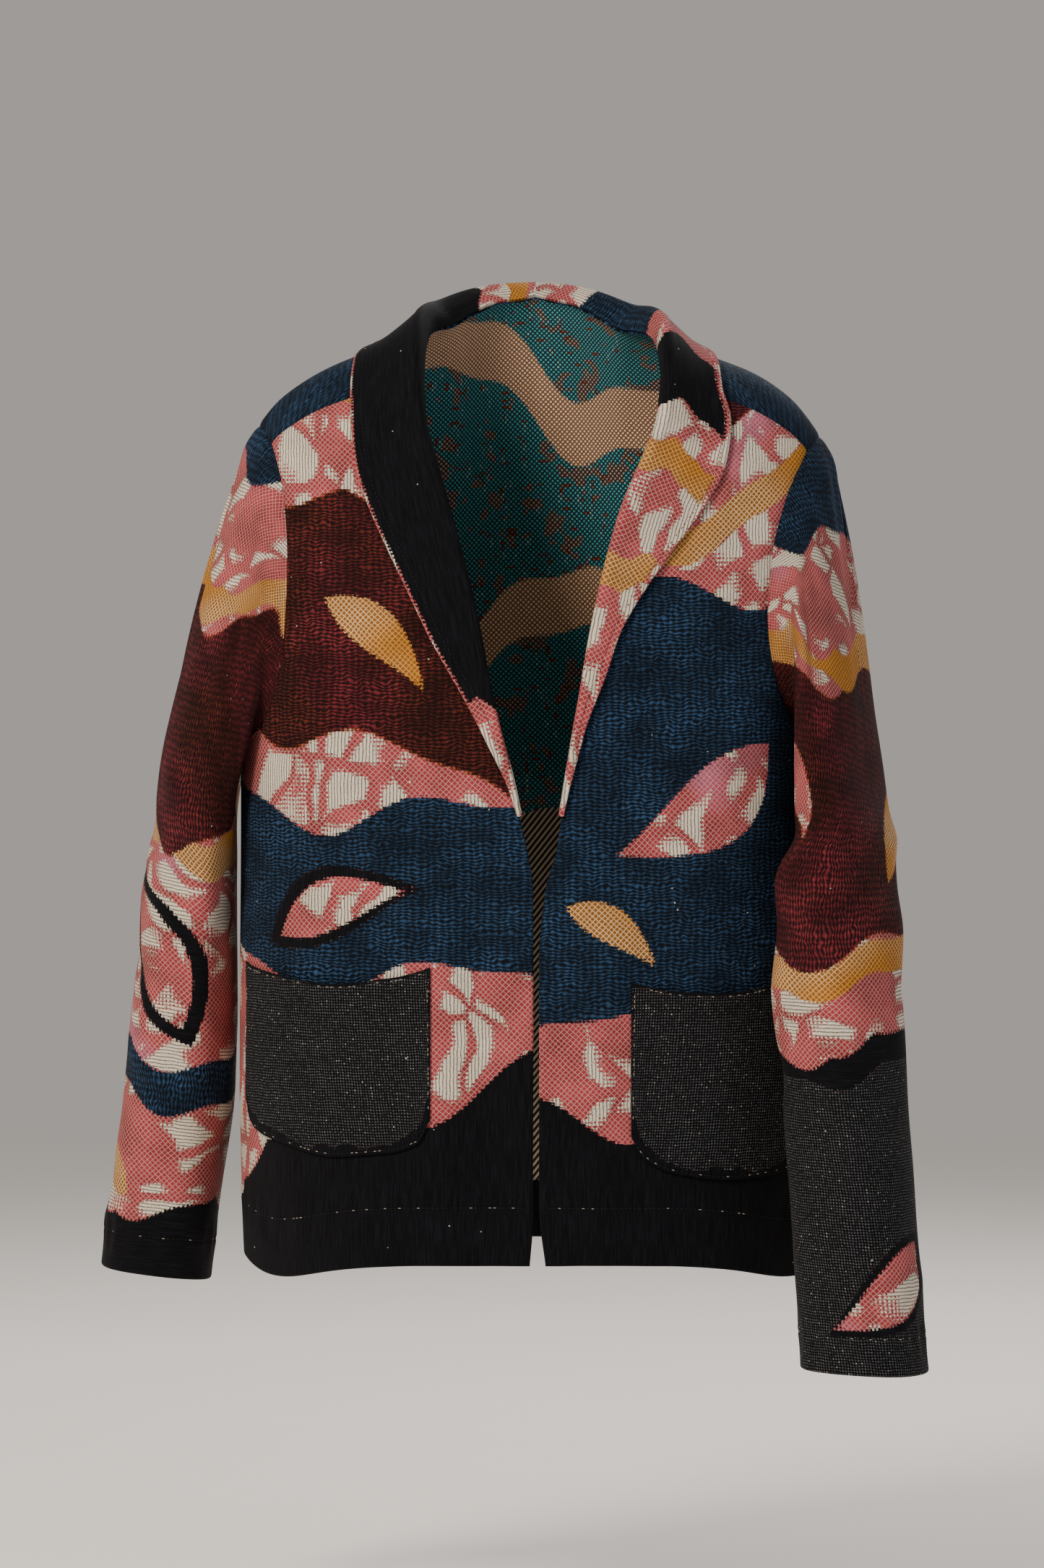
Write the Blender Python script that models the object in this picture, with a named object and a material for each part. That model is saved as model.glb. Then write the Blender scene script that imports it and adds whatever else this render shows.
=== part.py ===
# An open jacquard jacket with a shawl collar, set-in sleeves and two patch pockets, hollow as when worn.
# Metres, +Z up, the front faces -Y. The origin is midway between the side neck points.
# +X is the wearer's left. Every panel is one wall of cloth, cut and placed as the sewn pieces are.

import bpy
import bmesh
import numpy as np

for old in list(bpy.data.objects):
    bpy.data.objects.remove(old, do_unlink=True)

# Driving sizes
WALL = 0.002
SEAM_GAP = 0.0003
UNDERARM_Z = -0.270
HEM_Z = -0.636
TOP_HALF_WIDTH = 0.216
RING_SQUARENESS = 0.03
SHOULDER_SEAM_ANGLE = 64.0
POCKET_EDGE_STANDOFF = 0.0027
POCKET_MIDDLE_RISE = 0.0012
POCKET_SLACK = 0.0035
HEM_DIP_FRONT = 0.012
HEM_DIP_BACK = 0.006
HEM_DIP_ANGLE = 32.0
HEM_DIP_SPREAD = 20.0
HEM_DIP_TOP = -0.45
HEM_DIP_HEIGHT = 0.18
FOLD_FADE_DEPTH = 0.03

# The body coordinate called rise runs from the front hem over the shoulder to the back hem:
# below 0 it is millimetres under the front underarm, 0 to 180 are degrees over the shoulder,
# and above 180 it is 180 plus millimetres under the back underarm.
FRONT_HEM_RISE = (HEM_Z - UNDERARM_Z) * 1000.0

# Level rings of the body. Columns: height, right half width, left half width, front depth, back depth
BODY_RINGS = (
    (-0.660, 0.2070, 0.2050, 0.1250, 0.1190),
    (-0.600, 0.2095, 0.2070, 0.1240, 0.1180),
    (-0.500, 0.2110, 0.2070, 0.1220, 0.1160),
    (-0.400, 0.2105, 0.2050, 0.1200, 0.1140),
    (-0.330, 0.2100, 0.2005, 0.1190, 0.1120),
    (-0.270, 0.2100, 0.2005, 0.1180, 0.1110),
)

# Line over the shoulders. Columns: distance from the centre, height
SHOULDER_LINE = (
    (0.000, 0.0830),
    (0.025, 0.0680),
    (0.047, 0.0450),
    (0.062, 0.0285),
    (0.072, 0.0235),
    (0.080, 0.0200),
    (0.100, 0.0125),
    (0.130, 0.0020),
    (0.155, -0.0085),
    (0.180, -0.0255),
    (0.193, -0.0400),
    (0.216, -0.0760),
)

# Front edge and neck seam. Columns: height, distance from the centre on the right, on the left
FRONT_EDGE = (
    (-0.660, 0.0060, 0.0085),
    (-0.636, 0.0045, 0.0065),
    (-0.610, 0.0025, 0.0032),
    (-0.585, 0.0022, 0.0020),
    (-0.420, 0.0020, 0.0020),
    (-0.371, 0.0022, 0.0066),
    (-0.345, 0.0060, 0.0140),
    (-0.320, 0.0120, 0.0180),
    (-0.290, 0.0190, 0.0230),
    (-0.255, 0.0290, 0.0290),
    (-0.224, 0.0365, 0.0350),
    (-0.190, 0.0425, 0.0415),
    (-0.146, 0.0525, 0.0510),
    (-0.107, 0.0630, 0.0620),
    (-0.069, 0.0735, 0.0780),
    (-0.044, 0.0800, 0.0875),
    (-0.015, 0.0815, 0.0905),
)

# Back neck seam and the collar beside it. Columns: share of the neck's half width, rise of the seam,
# distance of the collar's outer edge from the centre, rise of that edge, height of the collar's stand
BACK_NECK = (
    (0.00, 116.0, 0.0000, 130.5, 0.0205),
    (0.17, 114.5, 0.0270, 128.5, 0.0210),
    (0.34, 111.5, 0.0520, 123.0, 0.0220),
    (0.52, 107.0, 0.0760, 115.0, 0.0230),
    (0.68, 101.5, 0.0960, 107.0, 0.0225),
    (0.80, 96.0, 0.1100, 99.5, 0.0210),
    (0.88, 90.5, 0.1190, 92.5, 0.0190),
    (0.94, 83.5, 0.1255, 85.0, 0.0175),
    (0.98, 74.5, 0.1290, 75.5, 0.0165),
    (1.00, SHOULDER_SEAM_ANGLE, 0.1305, 65.5, 0.0160),
)

# Armhole seam. Columns: sine of the rise, distance from the centre
# on the right front, left front, right back, left back
ARMHOLE = (
    (0.000, 0.2100, 0.2005, 0.2100, 0.2005),
    (0.010, 0.2060, 0.1965, 0.2075, 0.1990),
    (0.040, 0.1975, 0.1880, 0.2020, 0.1960),
    (0.100, 0.1880, 0.1765, 0.1960, 0.1925),
    (0.200, 0.1805, 0.1675, 0.1910, 0.1900),
    (0.350, 0.1770, 0.1630, 0.1880, 0.1890),
    (0.520, 0.1755, 0.1665, 0.1870, 0.1895),
    (0.680, 0.1775, 0.1755, 0.1875, 0.1905),
    (0.850, 0.1850, 0.1890, 0.1900, 0.1945),
    (0.950, 0.1920, 0.1970, 0.1935, 0.1985),
    (1.000, 0.1970, 0.2020, 0.1970, 0.2020),
)

# Collar along the fronts. Columns: height at the seam, outer edge's distance from the centre and
# height on the right, the same on the left, height of the stand
COLLAR_FRONT = (
    (-0.015, 0.1300, -0.0200, 0.1370, -0.0250, 0.0165),
    (-0.044, 0.1295, -0.0550, 0.1370, -0.0540, 0.0140),
    (-0.069, 0.1245, -0.0830, 0.1290, -0.0840, 0.0115),
    (-0.107, 0.1100, -0.1200, 0.1085, -0.1170, 0.0090),
    (-0.146, 0.0930, -0.1560, 0.0840, -0.1500, 0.0075),
    (-0.190, 0.0735, -0.1970, 0.0580, -0.1930, 0.0065),
    (-0.224, 0.0555, -0.2290, 0.0470, -0.2270, 0.0060),
    (-0.255, 0.0400, -0.2575, 0.0350, -0.2562, 0.0055),
    (-0.290, 0.0262, -0.2905, 0.0278, -0.2905, 0.0050),
    (-0.320, 0.0170, -0.3203, 0.0222, -0.3203, 0.0045),
)

# Collar's cross-section from the seam over the roll to the outer edge. The first columns are
# millimetres out from the seam and a share of the fall's width, the next two the height as a share
# of the stand and as a share of the edge's lift.
COLLAR_PROFILE = (
    (-1.3, 0.00, 0.00, 0.00),
    (-3.2, 0.00, 0.45, 0.00),
    (-2.4, 0.00, 0.86, 0.00),
    (0.4, 0.00, 1.00, 0.00),
    (3.6, 0.00, 0.92, 0.08),
    (1.5, 0.33, 0.50, 0.50),
    (0.8, 0.66, 0.14, 0.86),
    (0.0, 1.00, 0.00, 1.00),
)
COLLAR_LIFT = 0.0042
COLLAR_FULL_WIDTH = 0.016
COLLAR_LEAST_ROLL = 0.45

# Start of the sleeve around the armhole, in millimetres along the body's cloth away from the seam
# and out from it. Columns: the pair at the underarm, at front and back, at the shoulder
SLEEVE_HEAD = (
    (0.3, 0.0, 0.3, 0.0, 0.3, 0.0),
    (3.0, 0.8, 4.0, 0.8, 6.0, 0.4),
    (4.2, 3.2, 8.0, 3.6, 13.0, 0.4),
    (2.5, 5.6, 11.5, 6.5, 20.0, -0.6),
    (-4.0, 7.5, 14.5, 9.5, 27.0, -3.0),
)
SLEEVE_HEAD_STRAIGHTENING = 0.8

# Sleeve sections down the arm. Columns: height, distance from the centre, place along Y,
# half width, half depth, turn forward in degrees, how much the outer side is higher than the inner
SLEEVE_RIGHT_SECTIONS = (
    (-0.320, 0.2415, 0.010, 0.0265, 0.076, 0.0, 0.060),
    (-0.360, 0.2450, 0.016, 0.0295, 0.070, 0.0, 0.035),
    (-0.405, 0.2485, 0.022, 0.0330, 0.063, 0.0, 0.015),
    (-0.455, 0.2520, 0.027, 0.0365, 0.056, 0.0, 0.005),
    (-0.515, 0.2555, 0.031, 0.0385, 0.050, 0.0, 0.002),
    (-0.585, 0.2645, 0.035, 0.0385, 0.047, 0.0, 0.004),
    (-0.654, 0.2740, 0.040, 0.0390, 0.045, 0.0, 0.010),
)
SLEEVE_LEFT_SECTIONS = (
    (-0.315, 0.2150, -0.050, 0.0200, 0.073, 20.0, 0.050),
    (-0.360, 0.2110, -0.084, 0.0300, 0.057, 34.0, 0.030),
    (-0.430, 0.2110, -0.111, 0.0395, 0.046, 40.0, 0.012),
    (-0.500, 0.2150, -0.124, 0.0400, 0.0440, 35.0, 0.005),
    (-0.570, 0.2205, -0.134, 0.0405, 0.0430, 30.0, 0.001),
    (-0.640, 0.2255, -0.142, 0.0415, 0.0430, 25.0, -0.002),
    (-0.706, 0.2295, -0.148, 0.0430, 0.0430, 20.0, -0.004),
)

# Largest folds of the body: a ridge, or a trough where the depth is negative, along a straight run.
# Columns: -1 front or 1 back, start X and height, end X and height, half width, depth
BODY_FOLDS = (
    (-1, -0.165, -0.235, -0.095, -0.400, 0.018, 0.0040),
    (-1, -0.150, -0.300, -0.110, -0.420, 0.014, -0.0030),
    (-1, -0.045, -0.360, -0.035, -0.600, 0.016, -0.0030),
    (-1, -0.120, -0.605, -0.128, -0.655, 0.020, 0.0040),
    (-1, 0.150, -0.240, 0.100, -0.380, 0.018, 0.0040),
    (-1, 0.050, -0.380, 0.042, -0.610, 0.018, 0.0035),
    (-1, 0.118, -0.615, 0.125, -0.660, 0.020, 0.0035),
    (1, -0.085, -0.160, -0.070, -0.640, 0.028, 0.0050),
    (1, 0.090, -0.200, 0.078, -0.640, 0.026, 0.0045),
    (1, 0.005, -0.300, 0.010, -0.640, 0.030, -0.0040),
    (1, -0.165, -0.180, -0.120, -0.330, 0.018, 0.0035),
    (1, 0.165, -0.190, 0.130, -0.350, 0.020, 0.0035),
)

# Largest folds of each sleeve. Columns: place around in degrees (0 inner, 90 front, 180 outer),
# height, half width around in degrees, half height, depth
SLEEVE_RIGHT_FOLDS = (
    (72.0, -0.420, 16.0, 0.150, 0.0050),
    (150.0, -0.380, 40.0, 0.022, 0.0030),
    (120.0, -0.450, 36.0, 0.018, -0.0030),
    (250.0, -0.430, 40.0, 0.020, 0.0030),
    (140.0, -0.560, 40.0, 0.020, 0.0025),
)
SLEEVE_LEFT_FOLDS = (
    (60.0, -0.400, 34.0, 0.022, -0.0035),
    (110.0, -0.450, 38.0, 0.018, 0.0030),
    (200.0, -0.400, 40.0, 0.022, 0.0030),
    (40.0, -0.500, 34.0, 0.020, -0.0028),
    (300.0, -0.430, 40.0, 0.024, -0.0030),
    (100.0, -0.600, 44.0, 0.020, 0.0020),
)

# Pocket outlines. Columns: share across from the front edge's side, distance from the centre,
# height of the top edge, height of the bottom edge
POCKET_RIGHT = (
    (0.00, 0.0740, -0.4260, -0.5330),
    (0.06, 0.0820, -0.4290, -0.5500),
    (0.25, 0.1050, -0.4350, -0.5570),
    (0.50, 0.1400, -0.4385, -0.5590),
    (0.75, 0.1750, -0.4340, -0.5500),
    (0.94, 0.1990, -0.4280, -0.5400),
    (1.00, 0.2030, -0.4260, -0.5220),
)
POCKET_LEFT = (
    (0.00, 0.0660, -0.4370, -0.5450),
    (0.06, 0.0740, -0.4385, -0.5600),
    (0.25, 0.0960, -0.4430, -0.5710),
    (0.50, 0.1290, -0.4450, -0.5750),
    (0.75, 0.1640, -0.4400, -0.5700),
    (0.94, 0.1900, -0.4340, -0.5600),
    (1.00, 0.1950, -0.4320, -0.5420),
)

# Rows of the panels, the same on both sides of every seam: millimetres under the underarm, then
# square roots of the sines of the rises above it, then the rises of the back's rows over the shoulder
LOWER_ROWS = (FRONT_HEM_RISE, -320.0, -275.0, -230.0, -185.0, -140.0, -95.0, -50.0, -24.0, 0.0)
UPPER_STEPS = (0.10, 0.20, 0.30, 0.40, 0.50, 0.60, 0.70, 0.78, 0.85, 0.91)
RIDGE_ROWS = (70.0, 77.0, 83.5, 90.0, 96.5, 103.0, 110.0, 117.0)
COLLAR_END_RISE = -50.0
PANEL_COLUMNS = 10
CAP_ROWS = 3
FOLD_FADE_ROWS = 3.0
POCKET_COLUMNS = 12
POCKET_ROWS = 8


# Smooth curve through the rows of a table: cubic pieces whose slope at each row is the harmonic
# mean of its neighbours' slopes, so the curve never swings past its rows.
def smooth(at, values, where):
    at = np.asarray(at, float)
    values = np.asarray(values, float)
    where = np.clip(np.asarray(where, float), at[0], at[-1])
    extra = (1,) * (values.ndim - 1)
    step = np.diff(at).reshape((-1,) + extra)
    slope = np.diff(values, axis=0) / step
    tangent = np.zeros_like(values)
    product = slope[:-1] * slope[1:]
    total = slope[:-1] + slope[1:]
    safe = np.where(np.abs(total) < 1e-12, 1.0, total)
    tangent[1:-1] = np.where(product > 0.0, 2.0 * product / safe, 0.0)
    tangent[0] = slope[0]
    tangent[-1] = slope[-1]
    index = np.clip(np.searchsorted(at, where, side="right") - 1, 0, len(at) - 2)
    shape = where.shape + extra
    width = (at[index + 1] - at[index]).reshape(shape)
    t = ((where - at[index]) / (at[index + 1] - at[index])).reshape(shape)
    low, high = values[index], values[index + 1]
    low_slope, high_slope = tangent[index] * width, tangent[index + 1] * width
    return (
        low * (1.0 + 2.0 * t) * (1.0 - t) ** 2
        + low_slope * t * (1.0 - t) ** 2
        + high * t * t * (3.0 - 2.0 * t)
        + high_slope * t * t * (t - 1.0)
    )


def column(table, index):
    return np.array([row[index] for row in table], float)


def unit(vectors):
    return vectors / np.linalg.norm(vectors, axis=-1, keepdims=True)


# Share of the half width and of the depth at an angle round the body, 0 at the side, 90 in front
def ring_across(angle):
    return (np.cos(angle) - RING_SQUARENESS * np.cos(3.0 * angle)) / (1.0 - RING_SQUARENESS)


def ring_deep(angle):
    return (np.sin(angle) + RING_SQUARENESS * np.sin(3.0 * angle)) / (1.0 - RING_SQUARENESS)


def shoulder_height(distance):
    return smooth(column(SHOULDER_LINE, 0), column(SHOULDER_LINE, 1), distance)


def half_width(side, height, arch):
    rings = BODY_RINGS
    widths = column(rings, 1 if side < 0 else 2)
    level = smooth(column(rings, 0), widths, height)
    return level + (TOP_HALF_WIDTH - level) * np.sin(arch)


def ring_height(rise):
    return UNDERARM_Z + 0.001 * (np.minimum(rise, 0.0) - np.maximum(rise - 180.0, 0.0))


# Angle round the body of the point that lies a distance from the centre at a rise
def angle_at(side, distance, rise):
    width = half_width(side, ring_height(rise), np.radians(np.clip(rise, 0.0, 180.0)))
    angles = np.linspace(np.pi / 2.0, 0.0, 400)
    return np.interp(np.clip(distance / width, 0.0, 1.0), ring_across(angles), angles)


# Rise, on the front, of the point at a distance from the centre and a height
def front_rise(distance, height):
    reach = shoulder_height(distance) - UNDERARM_Z
    over = np.degrees(np.arcsin(np.clip((height - UNDERARM_Z) / reach, 0.0, 1.0)))
    return np.where(height < UNDERARM_Z, (height - UNDERARM_Z) * 1000.0, over)


# Smooth body shape before its folds: level rings below the underarm, arches over the shoulder above
def body_base(side, angle, rise):
    arch = np.radians(np.clip(rise, 0.0, 180.0))
    height = ring_height(rise)
    width = half_width(side, height, arch)
    distance = width * ring_across(angle)
    front = smooth(column(BODY_RINGS, 0), column(BODY_RINGS, 3), height)
    back = smooth(column(BODY_RINGS, 0), column(BODY_RINGS, 4), height)
    depth = np.where(arch < np.pi / 2.0, front, back)
    lift = (shoulder_height(distance) - UNDERARM_Z) * np.sin(arch)
    sink = np.clip((HEM_DIP_TOP - height) / HEM_DIP_HEIGHT, 0.0, 1.0) ** 2
    bump = np.exp(-(((np.degrees(angle) - HEM_DIP_ANGLE) / HEM_DIP_SPREAD) ** 2))
    dip = np.where(rise < 90.0, HEM_DIP_FRONT, HEM_DIP_BACK) * bump * sink
    return np.stack(
        [side * distance, -depth * ring_deep(angle) * np.cos(arch), height + lift - dip], axis=-1
    )


def surface_normal(surface, side, angle, rise):
    spread = 0.004
    climb = 0.5
    across = surface(side, angle + spread, rise) - surface(side, angle - spread, rise)
    along = surface(side, angle, rise + climb) - surface(side, angle, rise - climb)
    return -side * unit(np.cross(across, along))


# Height of the folds at points of the body
def fold_height(points):
    total = np.zeros(points.shape[:-1])
    for face, start_x, start_z, end_x, end_z, spread, depth in BODY_FOLDS:
        run = np.array([end_x - start_x, end_z - start_z])
        offset = points[..., [0, 2]] - np.array([start_x, start_z])
        along = np.clip(offset @ run / (run @ run), 0.0, 1.0)
        gap = np.linalg.norm(offset - along[..., None] * run, axis=-1)
        on_face = np.clip(points[..., 1] * face / FOLD_FADE_DEPTH, 0.0, 1.0)
        total = total + depth * on_face * np.exp(-((gap / spread) ** 2))
    return total


def body(side, angle, rise):
    base = body_base(side, angle, rise)
    return base + surface_normal(body_base, side, angle, rise) * fold_height(base)[..., None]


def body_normal(side, angle, rise):
    return surface_normal(body, side, angle, rise)


# One closed wall from the grids of its two faces. A ring wall is joined round its columns.
def wall_from_grids(name, outer, inner, ring, material):
    rows, columns = outer.shape[:2]
    count = rows * columns
    points = np.concatenate([outer.reshape(-1, 3), inner.reshape(-1, 3)])
    faces = []
    last = columns if ring else columns - 1
    for row in range(rows - 1):
        for col in range(last):
            after = (col + 1) % columns
            a, b = row * columns + col, row * columns + after
            c, d = a + columns, b + columns
            faces.append((a, b, d, c))
            faces.append((a + count, c + count, d + count, b + count))
    for row in (0, rows - 1):
        for col in range(last):
            a, b = row * columns + col, row * columns + (col + 1) % columns
            faces.append((a, b, b + count, a + count))
    if not ring:
        for col in (0, columns - 1):
            for row in range(rows - 1):
                a, b = row * columns + col, (row + 1) * columns + col
                faces.append((a, b, b + count, a + count))
    mesh = bpy.data.meshes.new(name)
    mesh.from_pydata(points.tolist(), [], faces)
    shape = bmesh.new()
    shape.from_mesh(mesh)
    bmesh.ops.recalc_face_normals(shape, faces=shape.faces)
    bmesh.ops.triangulate(shape, faces=shape.faces)
    shape.to_mesh(mesh)
    shape.free()
    mesh.shade_smooth()
    mesh.set_sharp_from_angle(angle=np.radians(50.0))
    mesh.materials.append(material)
    piece = bpy.data.objects.new(name, mesh)
    bpy.context.scene.collection.objects.link(piece)
    return piece


def wall_on_body(name, side, angle, rise, material):
    middle = body(side, angle, rise)
    half = body_normal(side, angle, rise) * WALL / 2.0
    return wall_from_grids(name, middle + half, middle - half, False, material)


def cloth_material(name, colour, roughness):
    material = bpy.data.materials.new(name)
    material.use_nodes = True
    shader = material.node_tree.nodes["Principled BSDF"]
    shader.inputs["Base Color"].default_value = (*colour, 1.0)
    shader.inputs["Roughness"].default_value = roughness
    shader.inputs["Metallic"].default_value = 0.0
    return material


# Distance from the centre of the front edge or neck seam at each rise of the front
def front_edge_distance(side, rises):
    heights = np.linspace(FRONT_EDGE[0][0], FRONT_EDGE[-1][0], 300)
    distances = smooth(column(FRONT_EDGE, 0), column(FRONT_EDGE, 1 if side < 0 else 2), heights)
    return np.interp(rises, front_rise(distances, heights), distances)


# Distance from the centre of the armhole seam at each rise. Its table is read by the square root
# of the sine, because the seam turns sharply at the underarm.
def armhole_distance(side, rises):
    sine = np.sin(np.radians(np.clip(rises, 0.0, 180.0)))
    steps = np.sqrt(column(ARMHOLE, 0))
    front = smooth(steps, column(ARMHOLE, 1 if side < 0 else 2), np.sqrt(sine))
    back = smooth(steps, column(ARMHOLE, 3 if side < 0 else 4), np.sqrt(sine))
    return np.where(np.asarray(rises) < 90.0, front, back)


def neck_half_width(side):
    return float(front_edge_distance(side, np.array([SHOULDER_SEAM_ANGLE]))[0])


# Angle that half a seam gap takes at an angle round the body, with the other coordinate held
def half_gap_angle(side, angle, rise):
    spread = 0.004
    moved = body_base(side, angle + spread, rise) - body_base(side, angle - spread, rise)
    return (SEAM_GAP / 2.0) / (np.linalg.norm(moved, axis=-1) / (2.0 * spread))


def half_gap_rise(side, angle, rise):
    climb = 0.5
    moved = body_base(side, angle, rise + climb) - body_base(side, angle, rise - climb)
    return (SEAM_GAP / 2.0) / (np.linalg.norm(moved, axis=-1) / (2.0 * climb))


def upper_rises():
    return np.degrees(np.arcsin(np.array(UPPER_STEPS) ** 2))


# Outer boundary of a panel: the side seam up to the underarm, then the armhole
def outer_angle(side, rises):
    seam_rises = np.where(rises < 90.0, np.minimum(rises, 0.0), np.maximum(rises, 180.0))
    seam = half_gap_angle(side, np.zeros_like(rises), seam_rises)
    armhole = angle_at(side, armhole_distance(side, rises), rises)
    above = (rises > 0.0) & (rises < 180.0)
    return np.where(above, np.maximum(armhole, seam), seam)


def front_rises():
    return np.concatenate([LOWER_ROWS, upper_rises(), [SHOULDER_SEAM_ANGLE]])


def front_panel(name, side, material):
    rises = front_rises()
    inner = angle_at(side, front_edge_distance(side, rises), rises)
    outer = outer_angle(side, rises)
    share = np.linspace(0.0, 1.0, PANEL_COLUMNS + 1)
    angle = inner[:, None] + (outer - inner)[:, None] * share
    rise = np.repeat(rises[:, None], len(share), axis=1)
    rise[-1] -= half_gap_rise(side, angle[-1], rise[-1])
    return wall_on_body(name, side, angle, rise, material)


# Half of the back panel's grid, from the centre to the side: columns under the neck at fixed
# distances from the centre, then columns that spread to the side seam and armhole. The top of the
# grid is the neck seam, then the shoulder seam.
def back_half(side):
    top = 180.0 - SHOULDER_SEAM_ANGLE
    climb = np.concatenate([[0.0], upper_rises(), 180.0 - np.array(RIDGE_ROWS)[::-1], [top]])
    below = 180.0 - np.array(LOWER_ROWS[:-1])
    share = np.linspace(0.0, 1.0, PANEL_COLUMNS + 1)[1:]
    neck_share = column(BACK_NECK, 0)
    neck_climb = 180.0 - column(BACK_NECK, 1)
    climb_of_column = np.concatenate([neck_climb, np.full(len(share), top)]) / top
    rise_above = 180.0 - climb[:, None] * climb_of_column
    rise_below = np.repeat(below[:, None], rise_above.shape[1], axis=1)
    rise = np.concatenate([rise_below, rise_above])
    neck = len(neck_share)
    angle = np.zeros_like(rise)
    angle[:, :neck] = angle_at(side, neck_half_width(side) * neck_share, rise[:, :neck])
    start = angle[:, neck - 1]
    edge = outer_angle(side, rise[:, -1])
    angle[:, neck:] = start[:, None] + (edge - start)[:, None] * share
    rise[-1, neck - 1:] += half_gap_rise(side, angle[-1, neck - 1:], rise[-1, neck - 1:])
    return angle, rise


def back_panel(name, material):
    faces = []
    for side in (-1.0, 1.0):
        angle, rise = back_half(side)
        middle = body(side, angle, rise)
        half = body_normal(side, angle, rise) * WALL / 2.0
        half[:, 0, 0] = 0.0
        middle[:, 0, 0] = 0.0
        faces.append((middle + half, middle - half))
    right, left = faces
    outer = np.concatenate([right[0][:, :0:-1], left[0]], axis=1)
    inner = np.concatenate([right[1][:, :0:-1], left[1]], axis=1)
    return wall_from_grids(name, outer, inner, False, material)


# Points round the armhole from the underarm over the front, the shoulder and the back, one for each
# row of the panels, with the direction of the body's cloth away from the seam and its normal
def armhole_ring(side):
    upper = upper_rises()
    rise = np.concatenate([[0.0], upper, [SHOULDER_SEAM_ANGLE], RIDGE_ROWS, 180.0 - upper[::-1]])
    angle = angle_at(side, armhole_distance(side, rise), rise)
    points = body(side, angle, rise)
    normal = body_normal(side, angle, rise)
    tangent = np.roll(points, -1, axis=0) - np.roll(points, 1, axis=0)
    away = -side * unit(np.cross(normal, tangent))
    half_length = np.linalg.norm(np.diff(points, axis=0, append=points[:1]), axis=1)
    length = np.concatenate([[0.0], np.cumsum(half_length)])
    ridge = np.interp(90.0, rise, length[:-1])
    around = np.interp(length[:-1], [0.0, ridge, length[-1]], [0.0, np.pi, 2.0 * np.pi])
    return points, away, normal, around


# One level of the arm's tube, as wide and deep as the table says, turned forward about its middle
def sleeve_section(side, row, around):
    height, distance, place, half_across, half_deep, turn, slope = row
    turned = np.radians(turn)
    outward = np.array([side * np.cos(turned), -np.sin(turned)])
    forward = np.array([-side * np.sin(turned), -np.cos(turned)])
    across = -half_across * ring_across(around)
    deep = half_deep * ring_deep(around)
    flat = np.array([side * distance, place]) + across[:, None] * outward + deep[:, None] * forward
    return np.column_stack([flat, height - 0.5 * slope * np.cos(around)])


def sleeve_keys(side, sections):
    points, away, normal, around = armhole_ring(side)
    up = 0.5 - 0.5 * np.cos(around)
    shoulder = np.clip((up - 0.55) / 0.4, 0.0, 1.0)
    underarm = np.clip((0.30 - up) / 0.3, 0.0, 1.0)
    middle = 1.0 - shoulder - underarm
    away[:, 1] *= 1.0 - SLEEVE_HEAD_STRAIGHTENING * shoulder
    away = unit(away)
    keys = []
    for low_a, low_n, mid_a, mid_n, top_a, top_n in SLEEVE_HEAD:
        along = 0.001 * (underarm * low_a + middle * mid_a + shoulder * top_a)
        out = 0.001 * (underarm * low_n + middle * mid_n + shoulder * top_n)
        keys.append(points + away * along[:, None] + normal * out[:, None])
    for row in sections:
        keys.append(sleeve_section(side, row, around))
    return np.array(keys), normal, around


def sleeve_fold_height(folds, around, heights):
    degrees = np.degrees(around)
    total = np.zeros(heights.shape)
    for place, height, spread, tall, depth in folds:
        turn = (degrees - place + 180.0) % 360.0 - 180.0
        total = total + depth * np.exp(-((turn / spread) ** 2) - ((heights - height) / tall) ** 2)
    return total


def sleeve(name, side, sections, folds, material):
    keys, start_normal, around = sleeve_keys(side, sections)
    head = len(SLEEVE_HEAD)
    step = np.linalg.norm(np.diff(keys, axis=0), axis=2).mean(axis=1)
    at = np.concatenate([[0.0], np.cumsum(step)])
    cap = np.linspace(at[head - 1], at[head], CAP_ROWS + 2)[1:-1]
    arm = []
    for low, high in zip(at[head:-1], at[head + 1:]):
        arm.extend([low, 0.5 * (low + high)])
    where = np.concatenate([at[:head], cap, arm, [at[-1]]])
    middle = smooth(at, keys, where)
    round_step = np.roll(middle, -1, axis=1) - np.roll(middle, 1, axis=1)
    down_step = np.gradient(middle, axis=0)
    normal = -side * unit(np.cross(round_step, down_step))
    normal[0] = start_normal
    fade = np.clip((np.arange(len(where)) - head) / FOLD_FADE_ROWS, 0.0, 1.0)[:, None]
    middle = middle + normal * (sleeve_fold_height(folds, around, middle[..., 2]) * fade)[..., None]
    half = normal * WALL / 2.0
    return wall_from_grids(name, middle + half, middle - half, True, material)


# Seam and outer edge of the collar in body coordinates, from the centre back to the front break,
# with a station at each row or column of the panels beside it
def collar_guides(side):
    neck = neck_half_width(side)
    guides = []
    for share, seam_rise, distance, edge_rise, stand in BACK_NECK:
        guides.append((neck * share, seam_rise, distance, edge_rise, stand))
    rises = front_rises()
    rises = rises[(rises >= COLLAR_END_RISE) & (rises < SHOULDER_SEAM_ANGLE)][::-1]
    seam_distance = front_edge_distance(side, rises)
    heights = body_base(side, angle_at(side, seam_distance, rises), rises)[:, 2]
    at = column(COLLAR_FRONT, 0)[::-1]
    first = 1 if side < 0 else 3
    distance, height, stand = (
        smooth(at, column(COLLAR_FRONT, index)[::-1], heights) for index in (first, first + 1, 5)
    )
    guides.extend(zip(seam_distance, rises, distance, front_rise(distance, height), stand))
    return np.array(guides)


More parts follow.
